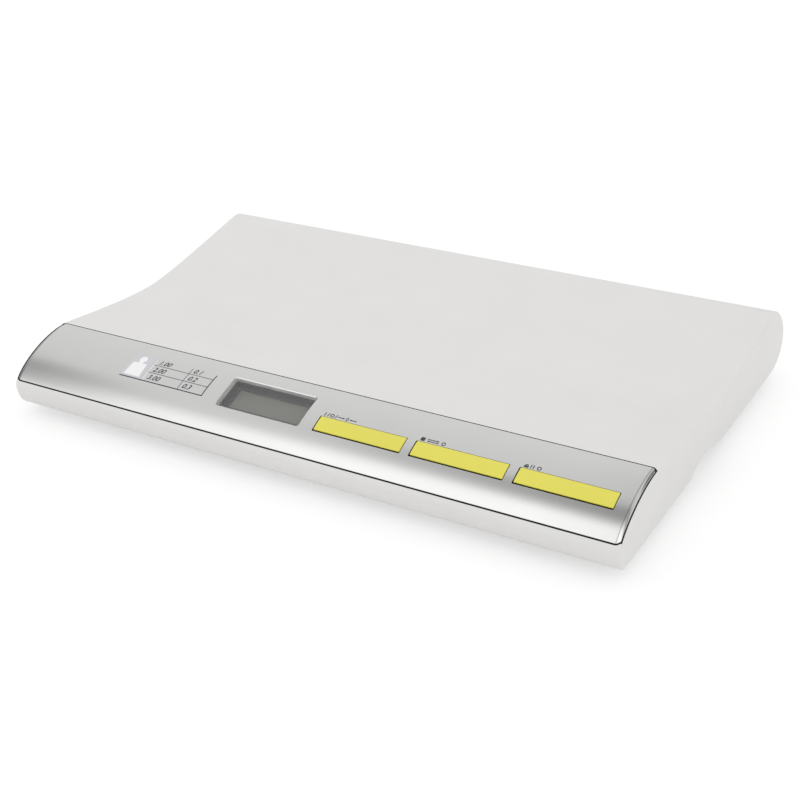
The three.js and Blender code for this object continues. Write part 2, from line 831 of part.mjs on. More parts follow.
// One cell lies along X with its nub at +X, and is centred from end to tip.
function batteryCell() {
  const tip = (batteryLength + nubHeight) / 2;
  const shoulder = tip - nubHeight;
  const profile = [
    [0, -tip],
    [batteryRadius - batteryShoulder, -tip],
    [batteryRadius, batteryShoulder - tip],
    [batteryRadius, shoulder - batteryShoulder],
    [batteryRadius - batteryShoulder, shoulder],
    [nubRadius, shoulder],
    [nubRadius, tip],
    [0, tip],
  ];
  return turned(profile, roundSides).rotateY(Math.PI / 2);
}

// A stamped contact with a sprung bump for each cell that it touches; the bumps point to +X.
function batteryContact(bumpCount) {
  const spread = (bumpCount - 1) * batteryPitch;
  const half = spread / 2 + batteryRadius - batteryGap;
  const plate = block(0, contactThickness, -half, half, -contactHeight / 2, contactHeight / 2);
  const cone = [
    [0, contactThickness / 2],
    [bumpRadius, contactThickness / 2],
    [bumpRadius / 2, contactReach],
    [0, contactReach],
  ];
  const bumps = Array.from({ length: bumpCount }, (_, i) => {
    const bump = turned(cone, pinSides).rotateY(Math.PI / 2);
    return solid(bump.translate(0, i * batteryPitch - spread / 2, 0));
  });
  return geometryOf(joined(solid(plate), ...bumps));
}

// A foot: a rubber pad in a cap that pushes on the tongue of its load cell
function footPad() {
  const profile = [
    [0, 0],
    [padRadius - padDimple, 0],
    [padRadius, padDimple],
    [padRadius, padThickness],
    [0, padThickness],
  ];
  return turned(profile, footSides);
}

function footCap() {
  const pocketRadius = padRadius + fit;
  const profile = [
    [0, padThickness + fit],
    [pocketRadius, padThickness + fit],
    [pocketRadius, capRimZ],
    [capRadius, capRimZ],
    [capRadius, capTopZ],
    [capRadius + capFlange, capTopZ],
    [capRadius + capFlange / 2, flangeTopZ],
    [pusherRadius, flangeTopZ],
    [pusherRadius, pusherTopZ],
    [0, pusherTopZ],
  ];
  return turned(profile, footSides);
}

// Load cell: a steel plate with a slot round its tongue, and the gauge on the tongue's root
function loadCell() {
  const half = cellPlateSize / 2;
  const cut = half - cellPlateCorner;
  const shape = new THREE.Shape([
    at(-cut, -half),
    at(cut, -half),
    at(half, -cut),
    at(half, cut),
    at(cut, half),
    at(-cut, half),
    at(-half, cut),
    at(-half, -cut),
  ]);
  const slotX = half - slotInset;
  const near = tongueWidth / 2;
  const far = near + slotWidth;
  const slot = [
    at(-slotX, near),
    at(slotX - slotWidth, near),
    at(slotX - slotWidth, -near),
    at(-slotX, -near),
    at(-slotX, -far),
    at(slotX, -far),
    at(slotX, far),
    at(-slotX, far),
  ];
  shape.holes.push(new THREE.Path(slot));
  const plate = new THREE.ExtrudeGeometry(shape, { depth: cellPlateThickness, bevelEnabled: false });
  const gauge = centredBlock(
    gaugeSize,
    gaugeSize,
    cellPlateThickness / 2,
    cellPlateThickness + gaugeHeight,
  );
  return geometryOf(solid(plate).add(solid(gauge.translate(-slotX / 2, 0, 0))));
}

// A screw, head down
function screw(headRadius, headHeight, radius, length) {
  const profile = [
    [0, 0],
    [headRadius * recessShare, 0],
    [headRadius, headHeight / 2],
    [headRadius, headHeight],
    [radius, headHeight],
    [radius, headHeight + length - radius],
    [0, headHeight + length],
  ];
  return turned(profile, pinSides);
}

// Frame that carries the display behind the panel
function displayHolder() {
  const openingSizeX = windowWidth - 2 * holderLedge;
  const openingSizeY = windowHeight - 2 * holderLedge;
  const body = centredBlock(holderX, holderY, holderBottomZ, holderTopZ);
  const opening = centredBlock(openingSizeX, openingSizeY, glassTopZ, holderTopZ + overrun);
  const pocket = centredBlock(
    glassX + 2 * fit,
    glassY + 2 * fit,
    holderBottomZ - overrun,
    glassTopZ + fit,
  );
  const post = rod(boardPostRadius, holderBottomZ, glassTopZ, pinSides);
  const postHole = rod(
    boardPostHole,
    holderBottomZ - overrun,
    holderBottomZ + boardScrewLength - 2 * fit,
    pinSides,
  );
  return geometryOf(
    cutBy(
      joined(solid(body), ...placed(post, holderPostPlaces)),
      solid(opening),
      solid(pocket),
      ...placed(postHole, holderPostPlaces),
    ),
  );
}

// A circuit board with holes for its screws
function board(fromX, toX, sizeY, topZ, holePlaces, ...extras) {
  const plate = block(fromX, toX, -sizeY / 2, sizeY / 2, topZ - boardThickness, topZ);
  const hole = rod(boardScrewRadius + fit, topZ - boardThickness - overrun, topZ + overrun, pinSides);
  return geometryOf(cutBy(joined(solid(plate), ...extras), ...placed(hole, holePlaces)));
}

function mainBoard() {
  const boardBottomZ = mainBoardTopZ - boardThickness;
  const chip = centredBlock(chipSize, chipSize, boardBottomZ - chipHeight, boardBottomZ + fit);
  const halfX = mainBoardX / 2;
  return board(-halfX, halfX, mainBoardY, mainBoardTopZ, holderPostPlaces, solid(chip));
}

function boardScrews(name, places, topZ) {
  const headZ = topZ - boardThickness - fit - boardScrewHeadHeight;
  const shape = screw(boardScrewHeadRadius, boardScrewHeadHeight, boardScrewRadius, boardScrewLength);
  return places.map(([x, y], i) => named(`${name}_screw_${i + 1}`, shape, screwSteel, x, y, headZ));
}

function displayPieces() {
  const lens = roundedPlate(
    windowWidth - 2 * fit,
    windowHeight - 2 * fit,
    windowCorner,
    lensZ,
    lensZ + lensThickness,
  );
  const stripSize = glassThickness;
  const glass = centredBlock(glassX, glassY, glassTopZ - glassThickness, glassTopZ);
  const guide = block(
    -glassX / 2,
    glassX / 2,
    -glassY / 2 + stripSize + fit,
    glassY / 2,
    guideTopZ - guideThickness,
    guideTopZ,
  );
  const connector = block(
    -glassX / 2,
    glassX / 2,
    -glassY / 2,
    -glassY / 2 + stripSize,
    holderBottomZ,
    guideTopZ,
  );
  return [
    named("display_lens", lens, clearLens),
    named("display_holder", displayHolder(), darkPlastic),
    named("display_glass", glass, lcdGlass),
    named("light_guide", guide, diffuser),
    named("strip_connector", connector, greyRubber),
    named("main_board", mainBoard(), boardGreen),
    ...boardScrews("main_board", holderPostPlaces, mainBoardTopZ),
  ];
}

// A key: a crowned bar with a flange behind the panel and a stem over its switch
function keyBar() {
  const edgeZ = keyProud - keyCrown;
  const half = keyHeight / 2;
  const section = new THREE.Shape([at(half, edgeZ), at(half, keyFlangeTopZ)]);
  section.lineTo(-half, keyFlangeTopZ);
  section.lineTo(-half, edgeZ);
  section.quadraticCurveTo(0, keyProud + keyCrown, half, edgeZ);
  const bar = alongX(section.getPoints(4), -keyWidth / 2, keyWidth / 2);
  const flange = centredBlock(
    keyWidth + 2 * keyFlange,
    keyHeight + 2 * keyFlange,
    keyStemTopZ,
    keyFlangeTopZ,
  );
  const stem = rod(keyStemRadius, keyStemTopZ - keyStemLength, keyStemTopZ + fit, pinSides);
  return geometryOf(joined(solid(bar), solid(flange), solid(stem)));
}

function keySwitch() {
  const body = centredBlock(switchSize, switchSize, switchBottomZ, switchTopZ);
  const boreBottomZ = switchTopZ - plungerDepth - keyTravel - plungerClear;
  const bore = rod(plungerRadius + plungerClear, boreBottomZ, switchTopZ + overrun, pinSides);
  return geometryOf(solid(body).subtract(solid(bore)));
}

function keyBoard() {
  const fromX = firstKeyX - keyWidth / 2 - keyBoardMargin / 2;
  const toX = endX - keyEndInset + keyBoardMargin;
  return board(fromX, toX, keyBoardY, keyBoardTopZ, keyPostPlaces);
}

// A round lead through the given points
function lead(name, points, radius, look) {
  const path = new THREE.CatmullRomCurve3(points);
  const section = new THREE.Shape();
  section.absarc(0, 0, radius, 0, 2 * Math.PI);
  const geometry = new THREE.ExtrudeGeometry(section, {
    steps: Math.round(path.getLength() / (leadSteps * radius)),
    curveSegments: 4,
    bevelEnabled: false,
    extrudePath: path,
  });
  return named(name, geometry, look);
}

const spot = (x, y, z) => new THREE.Vector3(x, y, z);

// A point under the main board, by its place on the board and how far it hangs down
function underBoard(x, y, drop = 0) {
  const point = displayFrame.localToWorld(spot(x, y, mainBoardTopZ - boardThickness - fit));
  return point.setZ(point.z - drop);
}

// The way of a lead from where it comes out to its joint on the main board
function wayToBoard(from, boardX, boardY, height = harnessHeight) {
  const hanging = underBoard(boardX, boardY, leadDrop);
  const midway = [0.3, 0.75].map((share) =>
    from.clone().lerp(hanging, share).setZ(undersideZ + height),
  );
  return [...midway, hanging, underBoard(boardX, boardY)];
}

function cellLead([name, x, y]) {
  const side = Math.sign(x);
  const row = Math.sign(y);
  const z = cellPlateTopZ + fit + cellLeadRadius;
  const start = spot(x - side * (cellPlateSize / 2 - slotInset), y, z);
  const out = spot(x - side * (wellRadius + wellWall + leadRun), y, z);
  const boardX = side * (row < 0 ? solderRowX : solderRowX - solderPitch);
  const points = [start, out, ...wayToBoard(out, boardX, row * solderY)];
  return lead(`load_cell_lead_${name}`, points, cellLeadRadius, greyWire);
}

function batteryLead(name, side, look) {
  const y = bayY + (side * (batteryCount - 1) * batteryPitch) / 2;
  const start = spot(bayX - bayHalfX, y, batteryZ);
  const out = spot(bayX - bayHalfX - bayWall - (2 + side) * leadRun, y, batteryZ);
  const height = side > 0 ? harnessHeight + harnessStep : harnessHeight;
  const way = wayToBoard(out, (-side * solderPitch) / 2, 2 * solderY, height);
  return lead(name, [start, out, ...way], batteryLeadRadius, look);
}

// The link between the boards hangs under the gap between them.
function boardLink() {
  const keyBoardX = firstKeyX - keyWidth / 2 - keyBoardMargin / 2;
  const mainX = mainBoardX / 2 - linkInset;
  const linkDrop = linkRadius + 4 * fit;
  const z = keyBoardTopZ - boardThickness - linkDrop;
  const row = (x, drop) => keyRowFrame.localToWorld(spot(x, 0, z - drop));
  const points = [
    underBoard(mainX - leadRun, 0, linkDrop),
    underBoard(mainX, 0, linkDrop),
    row(keyBoardX + linkInset, 0),
    row(keyBoardX + linkInset + leadRun, 0),
  ];
  return lead("board_link_cable", points, linkRadius, greyWire);
}

const scale = new THREE.Group();
scale.add(named("top_shell", topShell(), whitePlastic));
scale.add(named("control_panel", controlPanel(), silverPanel));
scale.add(named("base_cover", baseCover(), coverPlastic));
scale.add(named("battery_door", batteryDoor(), coverPlastic));

displayFrame.add(...displayPieces());
scale.add(displayFrame);

keyFrames.forEach((frame, i) => {
  const plunger = rod(plungerRadius, switchTopZ - plungerDepth, plungerTopZ, pinSides);
  frame.add(named(`${keyNames[i]}_button`, keyBar(), yellowKey));
  frame.add(named(`${keyNames[i]}_switch`, keySwitch(), blackPlastic));
  frame.add(named(`${keyNames[i]}_switch_plunger`, plunger, blackPlastic));
  scale.add(frame);
});
keyRowFrame.add(named("key_board", keyBoard(), boardGreen));
keyRowFrame.add(...boardScrews("key_board", keyPostPlaces, keyBoardTopZ));
scale.add(keyRowFrame);

feet.forEach((foot) => {
  const [name, x, y] = foot;
  const cell = named(`load_cell_${name}`, loadCell(), springSteel, x, y, cellPlateZ);
  cell.rotation.z = x < 0 ? Math.PI : 0;
  scale.add(named(`foot_pad_${name}`, footPad(), greyRubber, x, y));
  scale.add(named(`foot_cap_${name}`, footCap(), coverPlastic, x, y));
  scale.add(cell, cellLead(foot));
});

screwPlaces.forEach(([x, y], i) => {
  const shape = screw(screwHeadRadius, screwHeadHeight, screwRadius, screwLength);
  const headZ = coverZ + screwSink - fit - screwHeadHeight;
  scale.add(named(`cover_screw_${i + 1}`, shape, screwSteel, x, y, headZ));
});

for (let i = 0; i < batteryCount; i++) {
  const y = bayY + (i - (batteryCount - 1) / 2) * batteryPitch;
  const cell = named(`battery_cell_${i + 1}`, batteryCell(), batteryJacket, bayX, y, batteryZ);
  cell.rotation.z = i % 2 ? Math.PI : 0;
  scale.add(cell);
}

// Contacts: name, bumps, end of the bay and place across it in pitches
const contacts = [
  ["positive", 1, -1, -1.5],
  ["link_left", 2, -1, 0],
  ["negative", 1, -1, 1.5],
  ["link_front", 2, 1, -1],
  ["link_rear", 2, 1, 1],
];
contacts.forEach(([name, bumpCount, side, pitches]) => {
  const contact = named(`battery_contact_${name}`, batteryContact(bumpCount), springSteel);
  contact.position.set(bayX + side * (bayHalfX - fit), bayY + pitches * batteryPitch, batteryZ);
  contact.rotation.z = side > 0 ? Math.PI : 0;
  scale.add(contact);
});

scale.add(batteryLead("battery_lead_red", -1, redWire));
scale.add(batteryLead("battery_lead_black", 1, blackWire));
scale.add(boardLink());

export default scale;
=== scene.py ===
# A digital baby weighing scale in a soft white studio: a satin white tray behind a silver control
# panel with a recessed display and three yellow keys. Sizes are millimetres until a mesh is made.
import math

import bmesh
import bpy
from mathutils import Matrix, Vector


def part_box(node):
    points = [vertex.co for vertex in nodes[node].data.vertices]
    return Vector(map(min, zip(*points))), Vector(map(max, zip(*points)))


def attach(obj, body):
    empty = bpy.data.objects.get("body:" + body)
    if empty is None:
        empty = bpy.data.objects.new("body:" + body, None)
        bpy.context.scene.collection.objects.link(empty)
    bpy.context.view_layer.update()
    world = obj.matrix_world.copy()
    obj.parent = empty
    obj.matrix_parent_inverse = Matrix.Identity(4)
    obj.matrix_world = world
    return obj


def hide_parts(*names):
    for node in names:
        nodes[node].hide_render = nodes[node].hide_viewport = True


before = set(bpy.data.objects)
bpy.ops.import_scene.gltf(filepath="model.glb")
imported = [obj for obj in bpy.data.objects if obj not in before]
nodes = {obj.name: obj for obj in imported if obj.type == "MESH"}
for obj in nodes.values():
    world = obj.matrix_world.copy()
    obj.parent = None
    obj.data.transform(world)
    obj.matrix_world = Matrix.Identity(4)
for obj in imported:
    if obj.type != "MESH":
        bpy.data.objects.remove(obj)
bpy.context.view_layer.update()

MM = 0.001

# Overall sizes
WIDTH = 550.0
DEPTH = 352.0
STANDOFF = 9.0
WALL = 2.8
END_ROUND = 1.5
FIT = 0.3
OVERRUN = 3.0
CREST_Z = 67.0
FRONT_Y = -DEPTH / 2
REAR_Y = DEPTH / 2
END_X = WIDTH / 2

# Side profile: nose, lip behind the panel, lowest line of the tray, crest and rear nose
FRONT_TUCK = 10.3
FRONT_NOSE_Z = 27.6
BROW_HANDLE = 11.0
LIP_Y = -111.5
LIP_Z = 58.0
LIP_FRONT_HANDLE = 30.4
LIP_REAR_HANDLE = 8.0
TRAY_LOW_Y = 4.5
TRAY_LOW_Z = 46.2
TRAY_FRONT_HANDLE = 42.0
TRAY_REAR_HANDLE = 28.0
CREST_Y = 142.1
CREST_HANDLE = 38.5
CREST_CLIMB = 6.5
CREST_REAR_HANDLE = 12.0
REAR_NOSE_Z = 32.5
NOSE_UPPER_HANDLE = 17.0
NOSE_LOWER_HANDLE = 13.0
REAR_TUCK = 29.4
REAR_TUCK_HANDLE = 17.0
QUARTER = 0.5523
SKIN_STEPS = 240
OUTLINE_STEPS = (20, 44, 30, 34, 36, 24)

# Control panel: places run along the skin from the foremost line
SEAT_START = 5.3
PANEL_START = 6.35
PANEL_END = 76.7
REAR_SEAM = 0.7
PANEL_DEPTH = 2.7
SEAT_DEPTH = 3.9
LEDGE_WIDTH = 0.85
LEDGE_DEPTH = 1.1
LEDGE_GAP = 0.1
PANEL_BACKING = 2.2
ROLL_ACROSS = 3.4
ROLL_DROP = 2.3
ROLL_SHARE = 0.96
PANEL_CORNER = 4.2
PANEL_EDGE = 0.5
PANEL_X = END_X - LEDGE_WIDTH - LEDGE_GAP
PANEL_STEPS = 84
SEAT_STEPS = 70
SLOT_STEPS = 24

# Display window
WINDOW_X = -37.0
WINDOW_WIDTH = 78.4
WINDOW_START = 29.9
WINDOW_END = 61.0
WINDOW_CORNER = 2.0
LIP_OUT = 0.55
LIP_DEPTH = 0.45
COLLAR_OUT = 1.5
COLLAR_TOP = -0.8
COLLAR_BOTTOM = -4.1
HOLDER_MARGIN = 2.8
HOLDER_LEDGE = 1.5
# The display's dark mask: partly its own border, partly painted shade of the recess's walls
MASK_TOP = -8.3
MASK_THICKNESS = 0.7
MASK_INSET_X = 5.0
MASK_INSET_FAR = 4.6
MASK_INSET_NEAR = 6.9
MASK_CORNER = 0.8
SLOT_FLOOR = -8.0

# Keys: a yellow cap on a dark carrier whose flange lies behind the panel; the carrier's black,
# # seen in the gap round the cap, is painted shade
KEYS = ["power_tare", "unit", "hold"]
FIRST_KEY_X = 54.05
KEY_PITCH = 84.4
KEY_WIDTH = 75.5
KEY_START = 30.5
KEY_END = 44.0
KEY_CORNER = 0.5
KEY_PROUD = 0.4
KEY_CROWN = 0.25
KEY_EDGE = 0.4
KEY_STEPS = 18
CAP_BOTTOM = -1.1
CARRIER_SET = 0.1
GAP_FRONT = 1.35
GAP_LEFT = 1.0
GAP_REAR = 0.35
GAP_RIGHT = 0.6
FLANGE_REACH = 1.7
FLANGE_TOP = -4.0
FLANGE_THICKNESS = 1.2

# Printed table beside the display: numbers in three rows, with a weight sign
TABLE_LEFT = -177.5
TABLE_SPLIT = -153.6
TABLE_COLUMN = -117.8
TABLE_RIGHT = -93.2
TABLE_START = 34.6
TABLE_ROW = 8.6
TABLE_TOP = 57.4
FIELD_TOP = 60.6
TABLE_NUMBERS = [("3.00", "0.3"), ("2.00", "0.2"), ("1.00", "0.1")]
NUMBER_INDENT = 2.6
NUMBER_RISE = 1.9
NUMBER_SIZE = 7.0
NUMBER_LEAN = 0.3
NUMBER_WEIGHT = 0.1
THIN_LINE = 0.6
THICK_LINE = 0.95
PRINT_LOW = 0.01
PRINT_HIGH = 0.05
WEIGHT_X = -166.7
WEIGHT_START = 36.4
WEIGHT_HEIGHT = 22.0
WEIGHT_WIDTH = 16.1
SIGN_START = 44.95
SIGN_HEIGHT = 3.5
SIGN_STROKE = 0.75
SIGN_INDENT = 1.5
SIGN_STEP = 1.4 * SIGN_HEIGHT

# The weight sign's right half, in shares of its width and height: body, neck and knob
WEIGHT_FOOT = 0.5
WEIGHT_TAPER = 0.075
WEIGHT_TOP = 0.61
WEIGHT_NECK = [(0.4, 0.635), (0.15, 0.645), (0.12, 0.69)]
KNOB_WIDE = 0.22
KNOB_TALL = 0.16
KNOB_MIDDLE = 0.84
KNOB_TURNS = (-math.pi / 3, math.pi * 0.49)

# Finger grips in the end walls
ARCH_FRONT_Y = -48.0
ARCH_PEAK_Y = -15.0
ARCH_REAR_Y = 44.5
ARCH_HEIGHT = 9.6
ARCH_HANDLE = 14.0
POCKET_DEPTH = 24.0
POCKET_MARGIN = 2.0
POCKET_CLEAR = 0.7
POCKET_WALL = 2.4

# Base cover, its foot wells and its battery bay
COVER_Z = 9.6
COVER_TOP = 12.2
COVER_RIM = 5.0
COVER_CORNER = 3.0
COVER_EDGE = 0.6
OPENING_X = END_X - WALL
OPENING_FRONT_Y = FRONT_Y + FRONT_TUCK + COVER_RIM
OPENING_REAR_Y = REAR_Y - REAR_TUCK - COVER_RIM
FEET = ["front_left", "front_right", "rear_left", "rear_right"]
MOUTH_RADIUS = 22.2
WELL_RADIUS = 25.0
WELL_WALL = 2.5
WELL_ROOF = 23.8
SCREW_COUNT = 8
COLLAR_RADIUS = 6.2
COLLAR_HEIGHT = 2.2
COUNTERBORE_RADIUS = 3.3
COUNTERBORE_TOP = 11.9
SCREW_HOLE = 1.7
BAY_HALF_X = 26.05
BAY_FRONT_Y = 17.95
BAY_REAR_Y = 66.05
BAY_ROOF = 23.2
BAY_WALL = 2.0
DOOR_THICKNESS = 2.0
DOOR_CORNER = 1.0
DOOR_EDGE = 0.5
TAB_WIDTH = 8.0
TAB_REACH = 4.0
TAB_THICKNESS = 1.4
LATCH_WIDTH = 14.0
LATCH_HEIGHT = 5.0
LATCH_THICKNESS = 1.2
LATCH_CLEAR = 0.6
GROOVE_DEPTH = 0.7
GROOVE_PITCH = 3.6
GROOVE_COUNT = 3

# Feet: ridges hold (share of their pitch, height), edges hold (distance in or out, height)
PAD_RIDGES = 6
PAD_GROOVE = 0.4
PAD_MIDDLE = 1.0
RIDGE = [(0.0, PAD_GROOVE), (0.25, 0.0), (0.7, 0.0), (0.95, PAD_GROOVE)]
PAD_EDGE = [(0.9, 0.0), (0.4, 0.12), (0.1, 0.4), (0.0, 0.8)]
CAP_INNER_EDGE = [(0.0, 0.5), (0.2, 0.1), (0.5, 0.0)]
CAP_OUTER_EDGE = [(0.6, 0.0), (0.18, 0.18), (0.0, 0.6)]
CAP_FLANGE = 2.0
CAP_FLANGE_RISE = 0.4
CAP_SHOULDER = 1.0
CAP_SHOULDER_RISE = 1.5
CAP_STEM = 4.5

# Cover screws: flat and reach are shares of the head's radius, the recess's depth of its height
SCREW_HEAD = 1.8
SCREW_SHANK = 1.4
SCREW_TIP = 0.2
SCREW_FLAT = 0.7
SCREW_CROWN = 0.6
CROSS_REACH = 0.62
CROSS_HALF = 0.32
CROSS_DEPTH = 0.7

# Battery cells
BATTERY_COUNT = 4
NUB_RADIUS = 1.9
NUB_RISE = 1.2
SLEEVE_RIM = 0.8
SLEEVE_EDGE = 0.6
SLEEVE_LIP = 0.1
END_STEP = 0.25
BAND_START = 10.0

# Camera, worked out from the photograph
CAMERA_PLACE = (569.4, -905.6, 580.0)
CAMERA_LENS = 63.77
CAMERA_PITCH = 28.80
CAMERA_YAW = -32.25
CAMERA_ROLL = -3.23

# Floor
FLOOR_HALF = 6000.0
FLOOR_DROP = 0.3


# The profile's curves hold (y, z)
def bezier(points, share):
    rest = 1 - share
    weights = (rest**3, 3 * rest * rest * share, 3 * rest * share * share, share**3)
    return tuple(sum(w * p[axis] for w, p in zip(weights, points)) for axis in (0, 1))


def sampled(curve, steps):
    return [bezier(curve, i / steps) for i in range(steps)]


def spread(start, end, count):
    return [start + (end - start) * i / count for i in range(count + 1)]


def round_edge(steps):
    """A rounded edge of radius 1: how far each step lies from the side and from the face."""
    return [(1 - math.sin(t), 1 - math.cos(t)) for t in spread(0, math.pi / 2, steps)]


CREST_SLOPE = CREST_CLIMB / CREST_HANDLE
TUCK = [(FRONT_Y + FRONT_TUCK, STANDOFF), (FRONT_Y + FRONT_TUCK * (1 - QUARTER), STANDOFF),
        (FRONT_Y, FRONT_NOSE_Z - (FRONT_NOSE_Z - STANDOFF) * QUARTER), (FRONT_Y, FRONT_NOSE_Z)]
BROW = [(FRONT_Y, FRONT_NOSE_Z), (FRONT_Y, FRONT_NOSE_Z + BROW_HANDLE),
        (LIP_Y - LIP_FRONT_HANDLE, LIP_Z), (LIP_Y, LIP_Z)]
FALL = [(LIP_Y, LIP_Z), (LIP_Y + LIP_REAR_HANDLE, LIP_Z),
        (TRAY_LOW_Y - TRAY_FRONT_HANDLE, TRAY_LOW_Z), (TRAY_LOW_Y, TRAY_LOW_Z)]
RISE = [(TRAY_LOW_Y, TRAY_LOW_Z), (TRAY_LOW_Y + TRAY_REAR_HANDLE, TRAY_LOW_Z),
        (CREST_Y - CREST_HANDLE, CREST_Z - CREST_CLIMB), (CREST_Y, CREST_Z)]
NOSE_UPPER = [(CREST_Y, CREST_Z),
              (CREST_Y + CREST_REAR_HANDLE, CREST_Z + CREST_REAR_HANDLE * CREST_SLOPE),
              (REAR_Y, REAR_NOSE_Z + NOSE_UPPER_HANDLE), (REAR_Y, REAR_NOSE_Z)]
NOSE_LOWER = [(REAR_Y, REAR_NOSE_Z), (REAR_Y, REAR_NOSE_Z - NOSE_LOWER_HANDLE),
              (REAR_Y - REAR_TUCK + REAR_TUCK_HANDLE, STANDOFF), (REAR_Y - REAR_TUCK, STANDOFF)]
PROFILE = (TUCK, BROW, FALL, RISE, NOSE_UPPER, NOSE_LOWER)

# The skin as fine points, with the length along it at each
skin = []
for curve in PROFILE[1:]:
    skin += sampled(curve, SKIN_STEPS)
skin.append(NOSE_LOWER[-1])
skin_lengths = [0.0]
for before, after in zip(skin, skin[1:]):
    skin_lengths.append(skin_lengths[-1] + math.dist(before, after))


def on_skin(place, depth=0.0):
    """The point (y, z) at a place along the skin and a depth under it."""
    low, high = 0, len(skin) - 2
    while low < high:
        middle = (low + high + 1) // 2
        if skin_lengths[middle] <= place:
            low = middle
        else:
            high = middle - 1
    step = skin_lengths[low + 1] - skin_lengths[low]
    share = (place - skin_lengths[low]) / step
    (y0, z0), (y1, z1) = skin[low], skin[low + 1]
    along = ((y1 - y0) / step, (z1 - z0) / step)
    y = y0 + (y1 - y0) * share + along[1] * depth
    z = z0 + (z1 - z0) * share - along[0] * depth
    return y, z


# A frame on the skin: its X runs along the panel, its Y up the slope and its Z out
def skin_frame(x, origin, start, end):
    (y0, z0), (y1, z1) = on_skin(start), on_skin(end)
    tilt = math.atan2(z1 - z0, y1 - y0)
    return Matrix.Translation((x, origin[0], origin[1])) @ Matrix.Rotation(tilt, 4, "X")


window_start, window_end = on_skin(WINDOW_START), on_skin(WINDOW_END)
window_height = math.dist(window_start, window_end)
window_middle = [(a + b) / 2 for a, b in zip(window_start, window_end)]
display_frame = skin_frame(WINDOW_X, window_middle, WINDOW_START, WINDOW_END)
key_middle = on_skin((KEY_START + KEY_END) / 2)
key_height = KEY_END - KEY_START
key_frames = [
    skin_frame(FIRST_KEY_X + i * KEY_PITCH, key_middle, KEY_START, KEY_END) for i in range(len(KEYS))
]


# Meshes: points come in millimetres and are stored in metres
def linked(name, data):
    """A new object in the scene."""
    piece = bpy.data.objects.new(name, data)
    bpy.context.scene.collection.objects.link(piece)
    return piece


def make_object(name, points, faces, place=None):
    mesh = bpy.data.meshes.new(name)
    if place is not None:
        points = [place @ Vector(p) for p in points]
    mesh.from_pydata([tuple(c * MM for c in p) for p in points], [], faces)
    mesh.validate()
    return linked(name, mesh)


def loft(rings, caps="face"):
    """Points and faces of a skin through rings of as many points each, closed at both ends. A paired
    cap joins a ring's first half to its second half, which keeps a thin curved end whole."""
    count = len(rings[0])
    last = (len(rings) - 1) * count
    points = [p for ring in rings for p in ring]
    faces = []
    for low in range(0, last, count):
        for i in range(count):
            j = (i + 1) % count
            faces.append((low + i, low + j, low + count + j, low + count + i))
    if caps == "paired":
        for i in range(count // 2 - 1):
            quad = (i, i + 1, count - 2 - i, count - 1 - i)
            faces.append(tuple(reversed(quad)))
            faces.append(tuple(last + k for k in quad))
    else:
        faces.append(tuple(reversed(range(count))))
        faces.append(tuple(range(last, last + count)))
    return points, faces


def reworked(piece, change):
    """Lets a function change a piece's mesh."""
    work = bmesh.new()
    work.from_mesh(piece.data)
    change(work)
    work.to_mesh(piece.data)
    work.free()
    return piece


def outward(piece):
    """Turns the faces of a closed piece outwards."""
    return reworked(piece, lambda work: bmesh.ops.recalc_face_normals(work, faces=work.faces))


def lofted(name, rings, caps="face", place=None):
    return outward(make_object(name, *loft(rings, caps), place))


def merged(pieces):
    """Puts the faces of several pieces into the first of them."""
    work = bmesh.new()
    for piece in pieces:
        work.from_mesh(piece.data)
    work.to_mesh(pieces[0].data)
    work.free()
    for piece in pieces[1:]:
        bpy.data.objects.remove(piece)
    return pieces[0]


def inset(points, by):
    """A closed outline, clockwise as seen from -X, drawn in by a distance."""
    count = len(points)
    drawn = []
    for i, (y, z) in enumerate(points):
        before, after = points[i - 1], points[(i + 1) % count]
        length = math.dist(before, after)
        along = ((after[0] - before[0]) / length, (after[1] - before[1]) / length)
        drawn.append((y + along[1] * by, z - along[0] * by))
    return drawn


def along_x(name, outline, from_x, to_x, rounding=0.0, steps=6, caps="face"):
    """A bar of this outline along X, with its end edges rounded."""
    turns = round_edge(steps) if rounding else [(0, 0)]
    stations = [(rounding * face, rounding * side) for side, face in turns]
    rings = [[(from_x + a, y, z) for y, z in inset(outline, d)] for a, d in stations]
    rings += [[(to_x - a, y, z) for y, z in inset(outline, d)] for a, d in reversed(stations)]
    return lofted(name, rings, caps)


def box_piece(name, from_x, to_x, from_y, to_y, from_z, to_z, place=None):
    rings = []
    for z in (from_z, to_z):
        rings.append([(from_x, from_y, z), (to_x, from_y, z), (to_x, to_y, z), (from_x, to_y, z)])
    return lofted(name, rings, place=place)


def rounded_outline(size_x, size_y, corner, side_steps=1, steps=6):
    points = []
    for side_x, side_y, start in ((1, -1, -90), (1, 1, 0), (-1, 1, 90), (-1, -1, 180)):
        middle = (side_x * (size_x / 2 - corner), side_y * (size_y / 2 - corner))
        for turn in spread(math.radians(start), math.radians(start + 90), steps):
            points.append((middle[0] + corner * math.cos(turn), middle[1] + corner * math.sin(turn)))
        if side_x != side_y:
            x, y = points[-1]
            points += [(x, level) for level in spread(y, -y, side_steps)[1:-1]]
    return points


def rounded_plate(name, size_x, size_y, corner, from_z, to_z, place=None, edge=0.0):
    """A plate with round corners, and a rounded lower rim where it has an edge."""
    turns = round_edge(5) if edge else [(0, 0)]
    stations = [(edge * side, from_z + edge * face) for side, face in turns]
    rings = []
    for draw, z in [*stations, (0.0, to_z)]:
        outline = rounded_outline(size_x - 2 * draw, size_y - 2 * draw, corner - draw)
        rings.append([(x, y, z) for x, y in outline])
    return lofted(name, rings, place=place)


